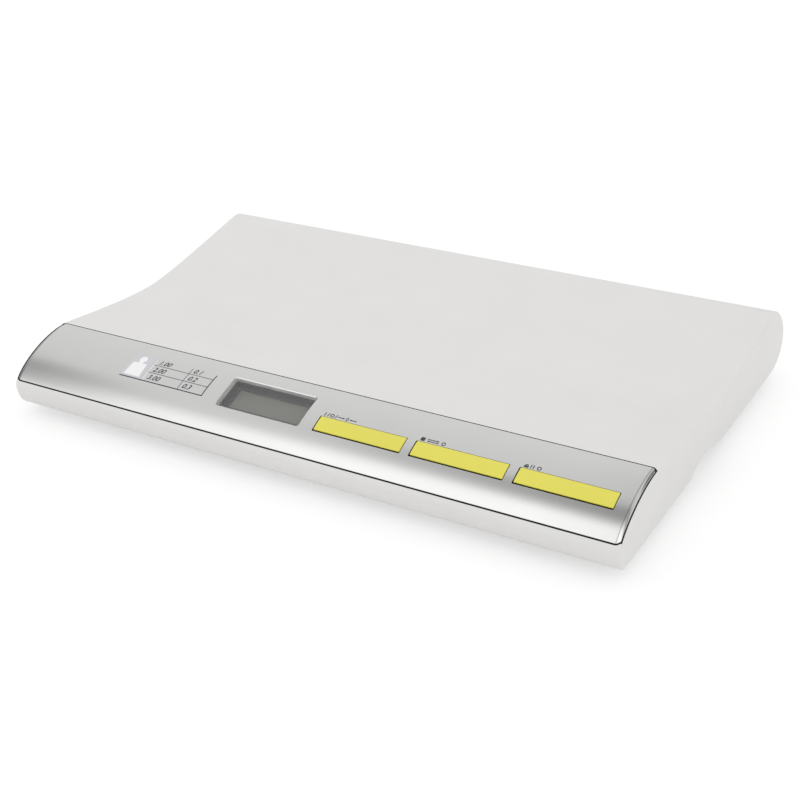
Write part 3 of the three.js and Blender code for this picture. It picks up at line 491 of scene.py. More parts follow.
def lathe(name, profile, sides=72, place=None):
    """A closed turned piece about Z; the profile holds (radius, height) and starts and ends at 0."""
    points = [(0, 0, profile[0][1])]
    inner = profile[1:-1]
    for radius, height in inner:
        for i in range(sides):
            turn = 2 * math.pi * i / sides
            points.append((radius * math.cos(turn), radius * math.sin(turn), height))
    points.append((0, 0, profile[-1][1]))
    top = len(points) - 1
    faces = []
    for i in range(sides):
        j = (i + 1) % sides
        faces.append((0, 1 + j, 1 + i))
        for k in range(len(inner) - 1):
            a, b = 1 + k * sides, 1 + (k + 1) * sides
            faces.append((a + i, a + j, b + j, b + i))
        last = 1 + (len(inner) - 1) * sides
        faces.append((last + i, last + j, top))
    return outward(make_object(name, points, faces, place))


def disc(name, radius, from_z, to_z, x, y, sides=72):
    place = Matrix.Translation((x, y, 0))
    return lathe(name, [(0, from_z), (radius, from_z), (radius, to_z), (0, to_z)], sides, place)


def settled(piece):
    """A piece's mesh with its modifiers applied."""
    bpy.context.view_layer.update()
    made = piece.evaluated_get(bpy.context.evaluated_depsgraph_get())
    return bpy.data.meshes.new_from_object(made)


def combined(piece, others, operation):
    """Joins other pieces to one, or cuts them from it, and removes them. Cut faces take the look of
    the cutter, where it has one."""
    for other in others:
        modifier = piece.modifiers.new("combine", "BOOLEAN")
        modifier.operation = operation
        modifier.solver = "EXACT"
        modifier.material_mode = "TRANSFER"
        modifier.object = other
    mesh = settled(piece)
    piece.modifiers.clear()
    piece.data = mesh
    for other in others:
        bpy.data.objects.remove(other)
    return piece


def painted(piece, *looks):
    for look in looks:
        piece.data.materials.append(look)
    return piece


def smooth(piece, angle=32):
    mesh = piece.data
    mesh.polygons.foreach_set("use_smooth", [True] * len(mesh.polygons))
    mesh.set_sharp_from_angle(angle=math.radians(angle))
    modifier = piece.modifiers.new("even shading", "WEIGHTED_NORMAL")
    modifier.keep_sharp = True
    modifier.weight = 100
    return piece


def dressed(piece, look, body, slot, *replaced):
    if not any(piece.data.materials):
        piece.data.materials.clear()
        piece.data.materials.append(look)
    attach(piece, body)
    if replaced:
        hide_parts(*replaced)


# Materials
def new_material(name):
    look = bpy.data.materials.new(name)
    look.use_nodes = True
    tree = look.node_tree
    return look, tree, tree.nodes["Principled BSDF"]


def wire(node, inputs):
    """Sets a node's inputs: each takes a value, an output, or a node, which gives its first one."""
    for name, value in inputs.items():
        if isinstance(value, bpy.types.Node):
            value = next(output for output in value.outputs if output.enabled)
        if isinstance(value, bpy.types.NodeSocket):
            node.id_data.links.new(value, node.inputs[name])
        else:
            node.inputs[name].default_value = value


def add_node(tree, kind, inputs=None, **settings):
    made = tree.nodes.new(f"ShaderNode{kind}")
    for name, value in settings.items():
        setattr(made, name, value)
    wire(made, inputs or {})
    return made


def coordinates(tree, kind="Object"):
    return add_node(tree, "TexCoord").outputs[kind]


def noise(tree, scale, detail):
    return add_node(
        tree, "TexNoise", {"Vector": coordinates(tree), "Scale": scale, "Detail": detail}
    )


def between(tree, value, low, high, from_low=0.3, from_high=0.7):
    return add_node(tree, "MapRange", {
        "Value": value, "From Min": from_low, "From Max": from_high, "To Min": low, "To Max": high,
    })


def ramp(tree, value, stops):
    """A ramp through stops of (position, colour)."""
    node = add_node(tree, "ValToRGB", {"Fac": value})
    elements = node.color_ramp.elements
    while len(elements) < len(stops):
        elements.new(1.0)
    for element, (position, colour) in zip(elements, stops):
        element.position = position
        element.color = (*colour, 1)
    return node


def grey_ramp(tree, value, levels, low=0.0, high=1.0):
    """A ramp through grey levels, whose places run from low to high."""
    return ramp(tree, value, [((x - low) / (high - low), (level,) * 3) for x, level in levels])


def two_tone(tree, value, first, second):
    return ramp(tree, value, [(0.3, first), (0.7, second)])


def bumped(shader, height, strength, distance, rounding=0.0):
    tree = shader.id_data
    bump = add_node(
        tree, "Bump", {"Height": height, "Strength": strength, "Distance": distance * MM}
    )
    if rounding:
        wire(bump, {"Normal": add_node(tree, "Bevel", {"Radius": rounding * MM}, samples=4)})
    wire(shader, {"Normal": bump})


def shade(colour, factor):
    return tuple(min(c * factor, 1.0) for c in colour)


def moulded(name, colour, roughness, grain=1800.0, bump=0.12, depth=0.02, rounding=0.0,
            contrast=0.03, metallic=0.0, gloss_spread=0.06):
    """Moulded or machined surface: cloudy tone, grain in the bump and uneven gloss."""
    look, tree, shader = new_material(name)
    tone = linear(*colour)
    clouds, fine = noise(tree, 22.0, 3.0), noise(tree, grain, 2.0)
    wire(shader, {
        "Base Color": two_tone(tree, clouds, shade(tone, 1 - contrast), shade(tone, 1 + contrast)),
        "Roughness": between(tree, fine, roughness - gloss_spread, roughness + gloss_spread),
        "Metallic": metallic,
    })
    bumped(shader, fine, bump, depth, rounding)
    return look


def linear(red, green, blue):
    """A colour written as 0 to 255, as the linear values a shader takes."""
    result = []
    for value in (red, green, blue):
        share = value / 255
        result.append(share / 12.92 if share <= 0.04045 else ((share + 0.055) / 1.055) ** 2.4)
    return tuple(result)


white_plastic = moulded(
    "white_plastic", (228, 227, 225), 0.42, bump=0.07, rounding=0.5, contrast=0.012
)
cover_plastic = moulded("cover_plastic", (214, 213, 210), 0.5, rounding=0.4, contrast=0.02)
silver_paint = moulded(
    "silver_paint", (222, 222, 221), 0.17, grain=5200.0, bump=0.06, depth=0.01,
    contrast=0.012, metallic=0.9, gloss_spread=0.03,
)
seam_shadow = moulded("seam_shadow", (26, 26, 27), 0.7, contrast=0.1)
window_wall = moulded("window_wall", (208, 207, 205), 0.45, contrast=0.12)
yellow_plastic = moulded(
    "yellow_plastic", (231, 223, 92), 0.36, rounding=0.2, contrast=0.02
)
dark_plastic = moulded("dark_plastic", (53, 52, 50), 0.55, rounding=0.3, contrast=0.05)
black_plastic = moulded("black_plastic", (30, 30, 32), 0.45, contrast=0.1)
rubber = moulded("grey_rubber", (120, 119, 117), 0.85, grain=900.0, bump=0.4, depth=0.05,
                 contrast=0.08)
spring_steel = moulded("spring_steel", (190, 192, 195), 0.3, grain=700.0, metallic=1.0,
                       contrast=0.06)
screw_steel = moulded("screw_steel", (176, 178, 182), 0.33, grain=900.0, metallic=1.0,
                      contrast=0.08)
diffuser = moulded("diffuser", (232, 234, 228), 0.35, contrast=0.03)
print_dark = moulded("print_dark", (62, 63, 68), 0.5, contrast=0.06)
print_line = moulded("print_line", (92, 93, 98), 0.5, contrast=0.05)
print_white = moulded("print_white", (246, 246, 246), 0.45, contrast=0.01)
print_lilac = moulded("print_lilac", (207, 206, 211), 0.4, contrast=0.01)
red_wire = moulded("red_wire", (176, 38, 42), 0.42, contrast=0.06)
black_wire = moulded("black_wire", (30, 30, 32), 0.42, contrast=0.08)
grey_wire = moulded("grey_wire", (150, 150, 153), 0.42, contrast=0.06)


def circuit_board():
    """Green solder mask with copper tracks showing through it."""
    look, tree, shader = new_material("circuit_board")
    tracks = add_node(tree, "TexBrick", {
        "Vector": coordinates(tree),
        "Scale": 160.0,
        "Mortar Size": 0.06,
        "Color1": (*linear(34, 104, 60), 1),
        "Color2": (*linear(30, 94, 54), 1),
        "Mortar": (*linear(64, 142, 84), 1),
    })
    wire(shader, {"Base Color": tracks, "Roughness": 0.35})
    bumped(shader, tracks.outputs["Fac"], 0.3, 0.03)
    return look


def liquid_crystal():
    """Olive grey display glass with a fine grain and a soft change of tone."""
    look, tree, shader = new_material("liquid_crystal")
    tone = two_tone(tree, noise(tree, 14.0, 1.0), linear(108, 107, 100), linear(116, 115, 108))
    wire(shader, {"Base Color": tone, "Roughness": 0.3})
    bumped(shader, noise(tree, 3000.0, 1.0), 0.05, 0.01)
    return look


def clear_lens():
    """Clear acrylic with the faintest grey."""
    look, tree, shader = new_material("clear_lens")
    tone = two_tone(tree, noise(tree, 30.0, 1.0), linear(222, 224, 224), linear(232, 234, 234))
    wire(shader, {"Base Color": tone, "Roughness": 0.05, "Alpha": 0.08})
    return look


def battery_jacket():
    """Printed sleeve: a dark blue body with a copper coloured band at the cell's nub end."""
    look, tree, shader = new_material("battery_jacket")
    split = add_node(tree, "SeparateXYZ", {"Vector": coordinates(tree)})
    band = add_node(
        tree, "Math", {0: split.outputs["Z"], 1: BAND_START * MM}, operation="GREATER_THAN"
    )
    scuffs = noise(tree, 500.0, 4.0)
    wire(shader, {
        "Base Color": two_tone(tree, band, linear(38, 62, 104), linear(192, 132, 84)),
        "Metallic": 0.35,
        "Roughness": between(tree, scuffs, 0.24, 0.4),
    })
    bumped(shader, scuffs, 0.06, 0.01)
    return look


board_green = circuit_board()
lcd = liquid_crystal()
lens_clear = clear_lens()
jacket = battery_jacket()


# Looks of the CAD nodes that stay, by the start of their names; a later line overrules
for prefixes, look in [
    ("display_lens", lens_clear),
    ("display_holder", dark_plastic),
    ("display_glass", lcd),
    ("light_guide", diffuser),
    ("strip_connector", rubber),
    (("main_board", "key_board"), board_green),
    (("main_board_screw", "key_board_screw"), screw_steel),
    (tuple(f"{name}_switch" for name in KEYS), black_plastic),
    (("load_cell", "battery_contact"), spring_steel),
    (("load_cell_lead", "board_link_cable"), grey_wire),
    ("battery_lead_red", red_wire),
    ("battery_lead_black", black_wire),
]:
    for name, node in nodes.items():
        if name.startswith(prefixes):
            node.data.materials.clear()
            node.data.materials.append(look)


# Tray shell
def crest_held(points):
    """Keeps the crest at its height: the curve's handles carry it slightly over."""
    peak = max(z for _, z in points)
    share = (CREST_Z - TRAY_LOW_Z) / (peak - TRAY_LOW_Z)
    return [
        (y, TRAY_LOW_Z + (z - TRAY_LOW_Z) * share if y > TRAY_LOW_Y and z > TRAY_LOW_Z else z)
        for y, z in points
    ]


def outer_outline():
    points = [p for curve, steps in zip(PROFILE, OUTLINE_STEPS) for p in sampled(curve, steps)]
    return crest_held([*points, NOSE_LOWER[-1]])


def cavity_outline():
    """The hollow under the skin; it lies deeper below the panel, whose backing it leaves."""
    behind = SEAT_DEPTH + PANEL_BACKING
    points = inset(sampled(TUCK, 12) + [TUCK[-1]], WALL)[1:-1]
    points += [on_skin(p, WALL) for p in spread(FIT, SEAT_START - WALL - FIT, 2)]
    points += [on_skin(p, behind) for p in spread(SEAT_START - WALL, PANEL_END + WALL, 40)]
    points += [on_skin(p, WALL) for p in spread(PANEL_END + WALL + FIT, skin_lengths[-1] - 1, 110)]
    return [(y, max(z, STANDOFF + WALL)) for y, z in points]


def arch_outline():
    top = STANDOFF + ARCH_HEIGHT
    front = [
        (ARCH_FRONT_Y, STANDOFF),
        (ARCH_FRONT_Y + ARCH_HANDLE / 2, STANDOFF),
        (ARCH_PEAK_Y - ARCH_HANDLE, top),
        (ARCH_PEAK_Y, top),
    ]
    rear = [
        (ARCH_PEAK_Y, top),
        (ARCH_PEAK_Y + ARCH_HANDLE, top),
        (ARCH_REAR_Y - 2 * ARCH_HANDLE, STANDOFF),
        (ARCH_REAR_Y, STANDOFF),
    ]
    curve = sampled(front, 16) + sampled(rear, 16) + [rear[-1]]
    low = STANDOFF - OVERRUN
    return [(ARCH_FRONT_Y, low), *curve, (ARCH_REAR_Y, low)]


def corner_draw(x, corner):
    """How far a round corner at the panel's end draws its long edge in, at a place along X."""
    near = min(max(abs(x) - (PANEL_X - PANEL_CORNER), 0.0), PANEL_CORNER)
    return corner - math.sqrt(corner**2 - near**2)


def end_stations(steps=16):
    """Places along X towards the panel's end, closer together where it rolls over."""
    return [PANEL_X - PANEL_CORNER * (i / steps) ** 2 for i in range(steps, -1, -1)]


def mirrored(stations):
    return [-x for x in reversed(stations)] + stations


def seat_cutter():
    """The recess that the panel lies in; its corners follow the panel's, with the seam round them,
    and its floor steps up to a narrow ledge at the ends."""
    rings = []
    step_x = PANEL_X + LEDGE_GAP
    half = [*end_stations(), step_x, step_x + LEDGE_GAP / 10, END_X + OVERRUN]
    for x in mirrored(half):
        front = SEAT_START + corner_draw(x, PANEL_CORNER + PANEL_START - SEAT_START)
        rear = PANEL_END + REAR_SEAM - corner_draw(x, PANEL_CORNER + REAR_SEAM)
        places = spread(front, rear, SEAT_STEPS)
        deep = LEDGE_DEPTH if abs(x) > step_x else SEAT_DEPTH
        ring = [(x, *on_skin(p, -OVERRUN)) for p in places]
        rings.append(ring + [(x, *on_skin(p, deep)) for p in reversed(places)])
    return painted(lofted("seat", rings, "paired"), seam_shadow)


def tray_shell():
    shell = along_x("tray_shell", outer_outline(), -END_X, END_X, END_ROUND)
    painted(shell, white_plastic)
    deep = -2 * (SEAT_DEPTH + PANEL_BACKING)
    holder_x = WINDOW_WIDTH + 2 * (HOLDER_MARGIN + FIT)
    holder_y = window_height + 2 * (HOLDER_MARGIN + FIT)
    hole_x = KEY_WIDTH + 2 * (FLANGE_REACH + FIT)
    hole_y = key_height + 2 * (FLANGE_REACH + FIT)
    cutters = [
        seat_cutter(),
        along_x("cavity", cavity_outline(), -OPENING_X, OPENING_X),
        box_piece("mouth", -OPENING_X, OPENING_X, OPENING_FRONT_Y, OPENING_REAR_Y,
                  STANDOFF - OVERRUN, STANDOFF + WALL + OVERRUN),
        along_x("arch_left", arch_outline(), -END_X - OVERRUN, OVERRUN - OPENING_X),
        along_x("arch_right", arch_outline(), OPENING_X - OVERRUN, END_X + OVERRUN),
        box_piece("holder_hole", -holder_x / 2, holder_x / 2, -holder_y / 2, holder_y / 2,
                  deep, OVERRUN, display_frame),
    ]
    for place in key_frames:
        cutters.append(
            box_piece("key_hole", -hole_x / 2, hole_x / 2, -hole_y / 2, hole_y / 2,
                      deep, OVERRUN, place)
        )
    smooth(combined(shell, cutters, "DIFFERENCE"))
    dressed(shell, white_plastic, "housing", "white_plastic", "top_shell")


def soft_edged(start, end, edge, steps):
    """Places from start to end, each with the depth that a rounded edge at both ends gives it."""
    rim = [(start + edge * side, edge * face) for side, face in reversed(round_edge(4))]
    middle = [(p, 0.0) for p in spread(start + edge, end - edge, steps)[1:-1]]
    return [*rim, *middle, *((start + end - p, d) for p, d in reversed(rim))]


# Silver control panel: rolled ends, round corners and soft long edges
def panel_ring(x):
    bend = ROLL_SHARE * max(1 - (PANEL_X - abs(x)) / ROLL_ACROSS, 0.0)
    drop = ROLL_DROP * (1 - math.sqrt(1 - bend**2))
    draw = corner_draw(x, PANEL_CORNER)
    face = soft_edged(PANEL_START + draw, PANEL_END - draw, PANEL_EDGE, PANEL_STEPS)
    ring = [(x, *on_skin(p, drop + d)) for p, d in face]
    return ring + [(x, *on_skin(p, PANEL_DEPTH)) for p, _ in reversed(face)]


def skin_ring(from_x, to_x, start, end, corner, wider, depth):
    """A rounded outline laid along the skin at a depth, wider than its four sides by a margin."""
    middle_x, middle = (from_x + to_x) / 2, (start + end) / 2
    size_x, size_y = to_x - from_x + 2 * wider, end - start + 2 * wider
    outline = rounded_outline(size_x, size_y, corner + wider, SLOT_STEPS)
    return [(middle_x + x, *on_skin(middle + p, depth)) for x, p in outline]


def levelled(ring, place, z):
    """The same outline laid flat at a height of a frame."""
    local = [place.inverted() @ Vector(point) for point in ring]
    return [place @ Vector((point.x, point.y, z)) for point in local]


def slot_cutter(name, sides, corner, lip, place, wall):
    """A hole through the panel: its lip slopes along the skin, then it goes straight down in its
    frame. A lip holds how far it reaches out and its depth."""
    lip_out, lip_depth = lip
    rim = skin_ring(*sides, corner, lip_out, 0.0)
    inner = skin_ring(*sides, corner, 0.0, lip_depth)
    rings = [levelled(rim, place, OVERRUN), rim, inner, levelled(inner, place, SLOT_FLOOR)]
    cutter = painted(lofted(name, rings), silver_paint, wall)
    count = len(rings[0])
    for face in cutter.data.polygons:
        face.material_index = int(face.index >= 2 * count)
    return cutter


def window_collar():
    """The wall round the window, from inside the panel down to the display's holder."""
    return rounded_plate("collar", WINDOW_WIDTH + 2 * COLLAR_OUT, window_height + 2 * COLLAR_OUT,
                         WINDOW_CORNER + COLLAR_OUT, COLLAR_BOTTOM, COLLAR_TOP, display_frame)


def silver_panel():
    rings = [panel_ring(x) for x in mirrored(end_stations())]
    panel = painted(lofted("silver_panel", rings, "paired"), silver_paint)
    half_window = WINDOW_WIDTH / 2
    window = (WINDOW_X - half_window, WINDOW_X + half_window, WINDOW_START, WINDOW_END)
    combined(panel, [painted(window_collar(), silver_paint)], "UNION")
    lip = (LIP_OUT, LIP_DEPTH)
    cutters = [slot_cutter("window", window, WINDOW_CORNER, lip, display_frame, window_wall)]
    edge = KEY_EDGE / 4
    for place in key_frames:
        x = place.translation.x
        slot = (x - KEY_WIDTH / 2 - GAP_LEFT, x + KEY_WIDTH / 2 + GAP_RIGHT,
                KEY_START - GAP_FRONT, KEY_END + GAP_REAR)
        cutters.append(
            slot_cutter("key_slot", slot, KEY_CORNER + GAP_REAR, (edge, edge), place,
                        seam_shadow)
        )
    smooth(combined(panel, cutters, "DIFFERENCE"))
    dressed(panel, silver_paint, "housing", "silver_panel", "control_panel")


def display_mask_and_shade():
    """A dark frame on the display glass, inside its holder: partly the display's own dark border,
    partly painted shade for the shadow that the recess's walls cast on the glass.
    """
    outer_x = WINDOW_WIDTH - 2 * (HOLDER_LEDGE + FIT / 10)
    outer_y = window_height - 2 * (HOLDER_LEDGE + FIT / 10)
    low = MASK_TOP - MASK_THICKNESS
    mask = rounded_plate("display_mask_and_shade", outer_x, outer_y, MASK_CORNER, low, MASK_TOP, display_frame)
    shift = (MASK_INSET_NEAR - MASK_INSET_FAR) / 2
    place = display_frame @ Matrix.Translation((0, shift, 0))
    opening = rounded_plate("mask_opening", WINDOW_WIDTH - 2 * MASK_INSET_X,
                            window_height - MASK_INSET_FAR - MASK_INSET_NEAR, MASK_CORNER,
                            low - OVERRUN, MASK_TOP + OVERRUN, place)
    dressed(smooth(combined(mask, [opening], "DIFFERENCE")), dark_plastic, "housing", "dark_plastic")


# A key: its face follows the skin and crowns a little
def key_ring(x, place, half_x):
    inward = max(abs(x) - (half_x - KEY_EDGE), 0.0)
    drop = KEY_EDGE - math.sqrt(max(KEY_EDGE**2 - inward**2, 0.0))
    corner = max(abs(x) - (half_x - KEY_CORNER), 0.0)
    draw = KEY_CORNER - math.sqrt(max(KEY_CORNER**2 - corner**2, 0.0))
    face = soft_edged(KEY_START + draw, KEY_END - draw, KEY_EDGE, KEY_STEPS)
    world_x = place.translation.x + x
    ring = []
    for p, d in face:
        rise = KEY_CROWN * (1 - ((2 * p - KEY_START - KEY_END) / (KEY_END - KEY_START)) ** 2)
        height = KEY_PROUD - KEY_CROWN + rise - max(d, drop)
        ring.append(Vector((world_x, *on_skin(p, -height))))
    return ring + levelled(reversed(ring), place, CAP_BOTTOM)


def key_bar(name, place):
    half = KEY_WIDTH / 2
    stations = [half - KEY_CORNER * side for side, _ in round_edge(6)]
    xs = mirrored([*spread(0, stations[0], 4)[1:-1], *stations])
    cap = lofted(f"{name}_cap", [key_ring(x, place, half) for x in xs], "paired")
    dressed(smooth(cap), yellow_plastic, f"{name}_key", "yellow_plastic", f"{name}_button")


# The carrier is black so that the gap round the cap shows dark: painted shade in the gap
def key_carrier(name, place):
    rings = []
    reach = 2 * FLANGE_REACH
    levels = [
        (reach, FLANGE_TOP - FLANGE_THICKNESS),
        (reach, FLANGE_TOP),
        (-2 * CARRIER_SET, FLANGE_TOP),
        (-2 * CARRIER_SET, CAP_BOTTOM - CARRIER_SET),
    ]
    for wider, z in levels:
        outline = rounded_outline(KEY_WIDTH + wider, key_height + wider, KEY_CORNER)
        rings.append([(x, y, z) for x, y in outline])
    carrier = lofted(f"{name}_carrier", rings, place=place)
    dressed(smooth(carrier), black_plastic, f"{name}_key", "black_plastic")


# Prints: outlines hold (x, place) and lie on the panel as thin closed shapes
def bar(from_x, to_x, start, end, lean=0.0):
    """An upright or lying bar; it leans along X by a share of its height."""
    levels = spread(start, end, max(1, round(end - start)))
    right = [(to_x + lean * (p - start), p) for p in levels]
    left = [(from_x + lean * (p - start), p) for p in levels]
    return right + left[::-1]


def arc_band(x, place, radius, thickness, from_turn, to_turn, narrow=1.0):
    """A stretch of a ring between two turns in degrees; narrow squeezes it along X."""
    turns = [math.radians(t) for t in spread(from_turn, to_turn, 16)]
    outline = [(x + narrow * radius * math.cos(t), place + radius * math.sin(t)) for t in turns]
    inner = radius - thickness
    outline += [
        (x + narrow * inner * math.cos(t), place + inner * math.sin(t)) for t in reversed(turns)
    ]
    return outline


def arrow(x, place, length, head, thickness):
    """An arrow whose tip is at x; a negative length points to -X."""
    side = math.copysign(1, length)
    neck = x - side * head
    tail = x - length
    half = thickness / 2
    outline = [(x, place), (neck, place + head / 2), (neck, place + half), (tail, place + half)]
    outline += [(tail, place - half), (neck, place - half), (neck, place - head / 2)]
    return outline


def printed(name, outlines, look, slot="dark_plastic", low=PRINT_LOW, high=PRINT_HIGH):
    """Thin closed shapes on the panel. An outline that is as long on its way back as on its way
    out gets paired caps, so that it bends with the panel."""
    points, faces = [], []
    for outline in outlines:
        rings = [[(x, *on_skin(p, -height)) for x, p in outline] for height in (low, high)]
        more_points, more_faces = loft(rings, "face" if len(outline) % 2 else "paired")
        faces += [tuple(len(points) + i for i in face) for face in more_faces]
        points += more_points
    dressed(outward(make_object(name, points, faces)), look, "housing", slot)


def printed_numbers():
    """The table's numbers: each is a flat text shape laid on the panel."""
    shapes = []
    for row, numbers in enumerate(TABLE_NUMBERS):
        for number, x in zip(numbers, (TABLE_SPLIT, TABLE_COLUMN)):
            text = bpy.data.curves.new("number", "FONT")
            text.body = number
            text.size = NUMBER_SIZE
            text.shear = NUMBER_LEAN
            text.offset = NUMBER_WEIGHT
            text.extrude = (PRINT_HIGH - PRINT_LOW) / 2
            text.resolution_u = 3
            source = linked("number", text)
            mesh = settled(source)
            bpy.data.objects.remove(source)
            place = TABLE_START + row * TABLE_ROW + NUMBER_RISE
            for vertex in mesh.vertices:
                flat = vertex.co
                level = (PRINT_LOW + PRINT_HIGH) / 2 + flat.z
                y, z = on_skin(place + flat.y, -level)
                vertex.co = Vector((x + NUMBER_INDENT + flat.x, y, z)) * MM
            shapes.append(linked("table_numbers", mesh))
    near = PRINT_LOW * MM / 10
    numbers = reworked(
        merged(shapes), lambda work: bmesh.ops.remove_doubles(work, verts=work.verts, dist=near)
    )
    dressed(outward(numbers), print_dark, "housing", "dark_plastic")


def printed_table():
    rows = [TABLE_START + (i + 1) * TABLE_ROW for i in range(2)]
    thin = [bar(TABLE_SPLIT, TABLE_RIGHT, p, p + THIN_LINE) for p in rows]
    thin.append(bar(TABLE_COLUMN, TABLE_COLUMN + THIN_LINE, TABLE_START, TABLE_TOP + THICK_LINE))
    printed("table_thin_lines", thin, print_line)
    bottom = TABLE_START - THICK_LINE
    thick = [
        bar(TABLE_LEFT, TABLE_RIGHT, bottom, TABLE_START),
        bar(TABLE_RIGHT, TABLE_RIGHT + THICK_LINE, bottom, TABLE_TOP),
    ]
    printed("table_thick_lines", thick, print_dark)
    split = bar(TABLE_SPLIT - THIN_LINE, TABLE_SPLIT, TABLE_START, TABLE_TOP)
    printed("table_split_line", [split], print_white, "white_plastic")
    field = bar(TABLE_LEFT, TABLE_SPLIT - 2 * THICK_LINE, TABLE_START + FIT, FIELD_TOP)
    printed("weight_field", [field], print_lilac, "silver_panel")
    printed_numbers()


def weight_sign():
    """A balance weight with a round knob, in shares of its width and height."""
    side = [(WEIGHT_FOOT - WEIGHT_TAPER * t, WEIGHT_TOP * t) for t in spread(0, 1, 12)]
    side += WEIGHT_NECK
    side += [
        (KNOB_WIDE * math.cos(t), KNOB_MIDDLE + KNOB_TALL * math.sin(t))
        for t in spread(*KNOB_TURNS, 12)
    ]
    right = [(WEIGHT_X + WEIGHT_WIDTH * x, WEIGHT_START + WEIGHT_HEIGHT * y) for x, y in side]
    left = [(WEIGHT_X - WEIGHT_WIDTH * x, WEIGHT_START + WEIGHT_HEIGHT * y) for x, y in side]
    printed("weight_sign", [right + left[::-1]], print_white, "white_plastic", PRINT_HIGH,
            2 * PRINT_HIGH)


def ring_sign(x, narrow=1.0):
    """A ring of two halves, as high as a sign."""
    middle, radius = SIGN_START + SIGN_HEIGHT / 2, SIGN_HEIGHT / 2
    return [
        arc_band(x + narrow * radius, middle, radius, SIGN_STROKE, turn, turn + 180, narrow)
        for turn in (0, 180)
    ]


def key_signs():
    """Plain signs over the keys: on and off with a zero, a change of unit, and a lock."""
    low, high = SIGN_START, SIGN_START + SIGN_HEIGHT
    middle, half = (low + high) / 2, SIGN_HEIGHT / 2
    stroke = SIGN_STROKE
    step = SIGN_STEP
    power, unit, hold = [
        place.translation.x - KEY_WIDTH / 2 + SIGN_INDENT for place in key_frames
    ]
    marks = [
        bar(power, power + stroke, low, high),
        bar(power + 0.5 * step, power + 0.5 * step + stroke, low, high, NUMBER_LEAN),
        bar(power + 1.9 * step, power + 1.9 * step + stroke, low, high, NUMBER_LEAN),
        arrow(power + 3.7 * step, middle, 1.3 * step, half, stroke),
        arrow(power + 4.5 * step, middle, -1.3 * step, half, stroke),
    ]
    marks += ring_sign(power + step) + ring_sign(power + 3.85 * step, 0.7)
    printed("power_tare_sign", marks, print_dark)
    marks = [
        bar(unit, unit + SIGN_HEIGHT, low, high),
        arrow(unit + 3.1 * step, middle + half / 2, 2 * step, half, stroke),
        arrow(unit + 1.1 * step, middle - half / 2, -2 * step, half, stroke),
    ]
    printed("unit_sign", marks + ring_sign(unit + 3.5 * step), print_dark)
    marks = [
        bar(hold, hold + SIGN_HEIGHT, low, middle),
        arc_band(hold + half, middle, half * 0.8, stroke, 0, 180),
        bar(hold + step, hold + step + stroke, low, high),
        bar(hold + 1.4 * step, hold + 1.4 * step + stroke, low, high),
    ]
    printed("hold_sign", marks + ring_sign(hold + 2 * step), print_dark)


# Feet: a smooth cap with a ribbed rubber pad
def foot(name):
    low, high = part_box(f"foot_pad_{name}")
    middle = (low + high) / (2 * MM)
    place = Matrix.Translation((middle.x, middle.y, 0))
    radius = (high.x - low.x) / (2 * MM)
    top = high.z / MM
    profile = [(0, PAD_GROOVE)]
    step = (radius - 2 * PAD_MIDDLE) / PAD_RIDGES
    for i in range(PAD_RIDGES):
        profile += [(PAD_MIDDLE + i * step + share * step, height) for share, height in RIDGE]
    profile += [(radius - away, height) for away, height in PAD_EDGE]
    profile += [(radius, top), (0, top)]
    pad = smooth(lathe(f"rubber_pad_{name}", profile, place=place))
    dressed(pad, rubber, f"foot_{name}", "grey_rubber", f"foot_pad_{name}")
    cap_low, cap_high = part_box(f"foot_cap_{name}")
    flange = (cap_high.x - cap_low.x) / (2 * MM)
    outer, mouth = flange - CAP_FLANGE, radius + FIT
    rim, stem_top = cap_low.z / MM, cap_high.z / MM
    cap_top = COVER_TOP + FIT
    shoulder = cap_top + CAP_SHOULDER_RISE
    profile = [(0, top + FIT), (mouth, top + FIT)]
    profile += [(mouth + away, rim + height) for away, height in CAP_INNER_EDGE]
    profile += [(outer - away, rim + height) for away, height in CAP_OUTER_EDGE]
    profile += [(outer, cap_top), (flange, cap_top), (flange, cap_top + CAP_FLANGE_RISE)]
    profile += [(flange - CAP_SHOULDER, shoulder), (CAP_STEM, shoulder), (CAP_STEM, stem_top)]
    cap = smooth(lathe(f"foot_shell_{name}", [*profile, (0, stem_top)], place=place))
    dressed(cap, cover_plastic, f"foot_{name}", "cover_plastic", f"foot_cap_{name}")


# Base cover
def middle_of(node):
    low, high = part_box(node)
    middle = (low + high) / (2 * MM)
    return middle.x, middle.y


screw_middles = [middle_of(f"cover_screw_{i + 1}") for i in range(SCREW_COUNT)]
foot_middles = [middle_of(f"foot_pad_{name}") for name in FEET]


def flared_hole(radius, low, shelf, inner, top, x, y):
    """A hole with a chamfered mouth that changes to another radius at a shelf."""
    profile = [
        (0, low - OVERRUN), (radius + COVER_EDGE, low - OVERRUN), (radius + COVER_EDGE, low),
        (radius, low + COVER_EDGE), (radius, shelf), (inner, shelf), (inner, top), (0, top),
    ]
    return lathe("hole", profile, place=Matrix.Translation((x, y, 0)))


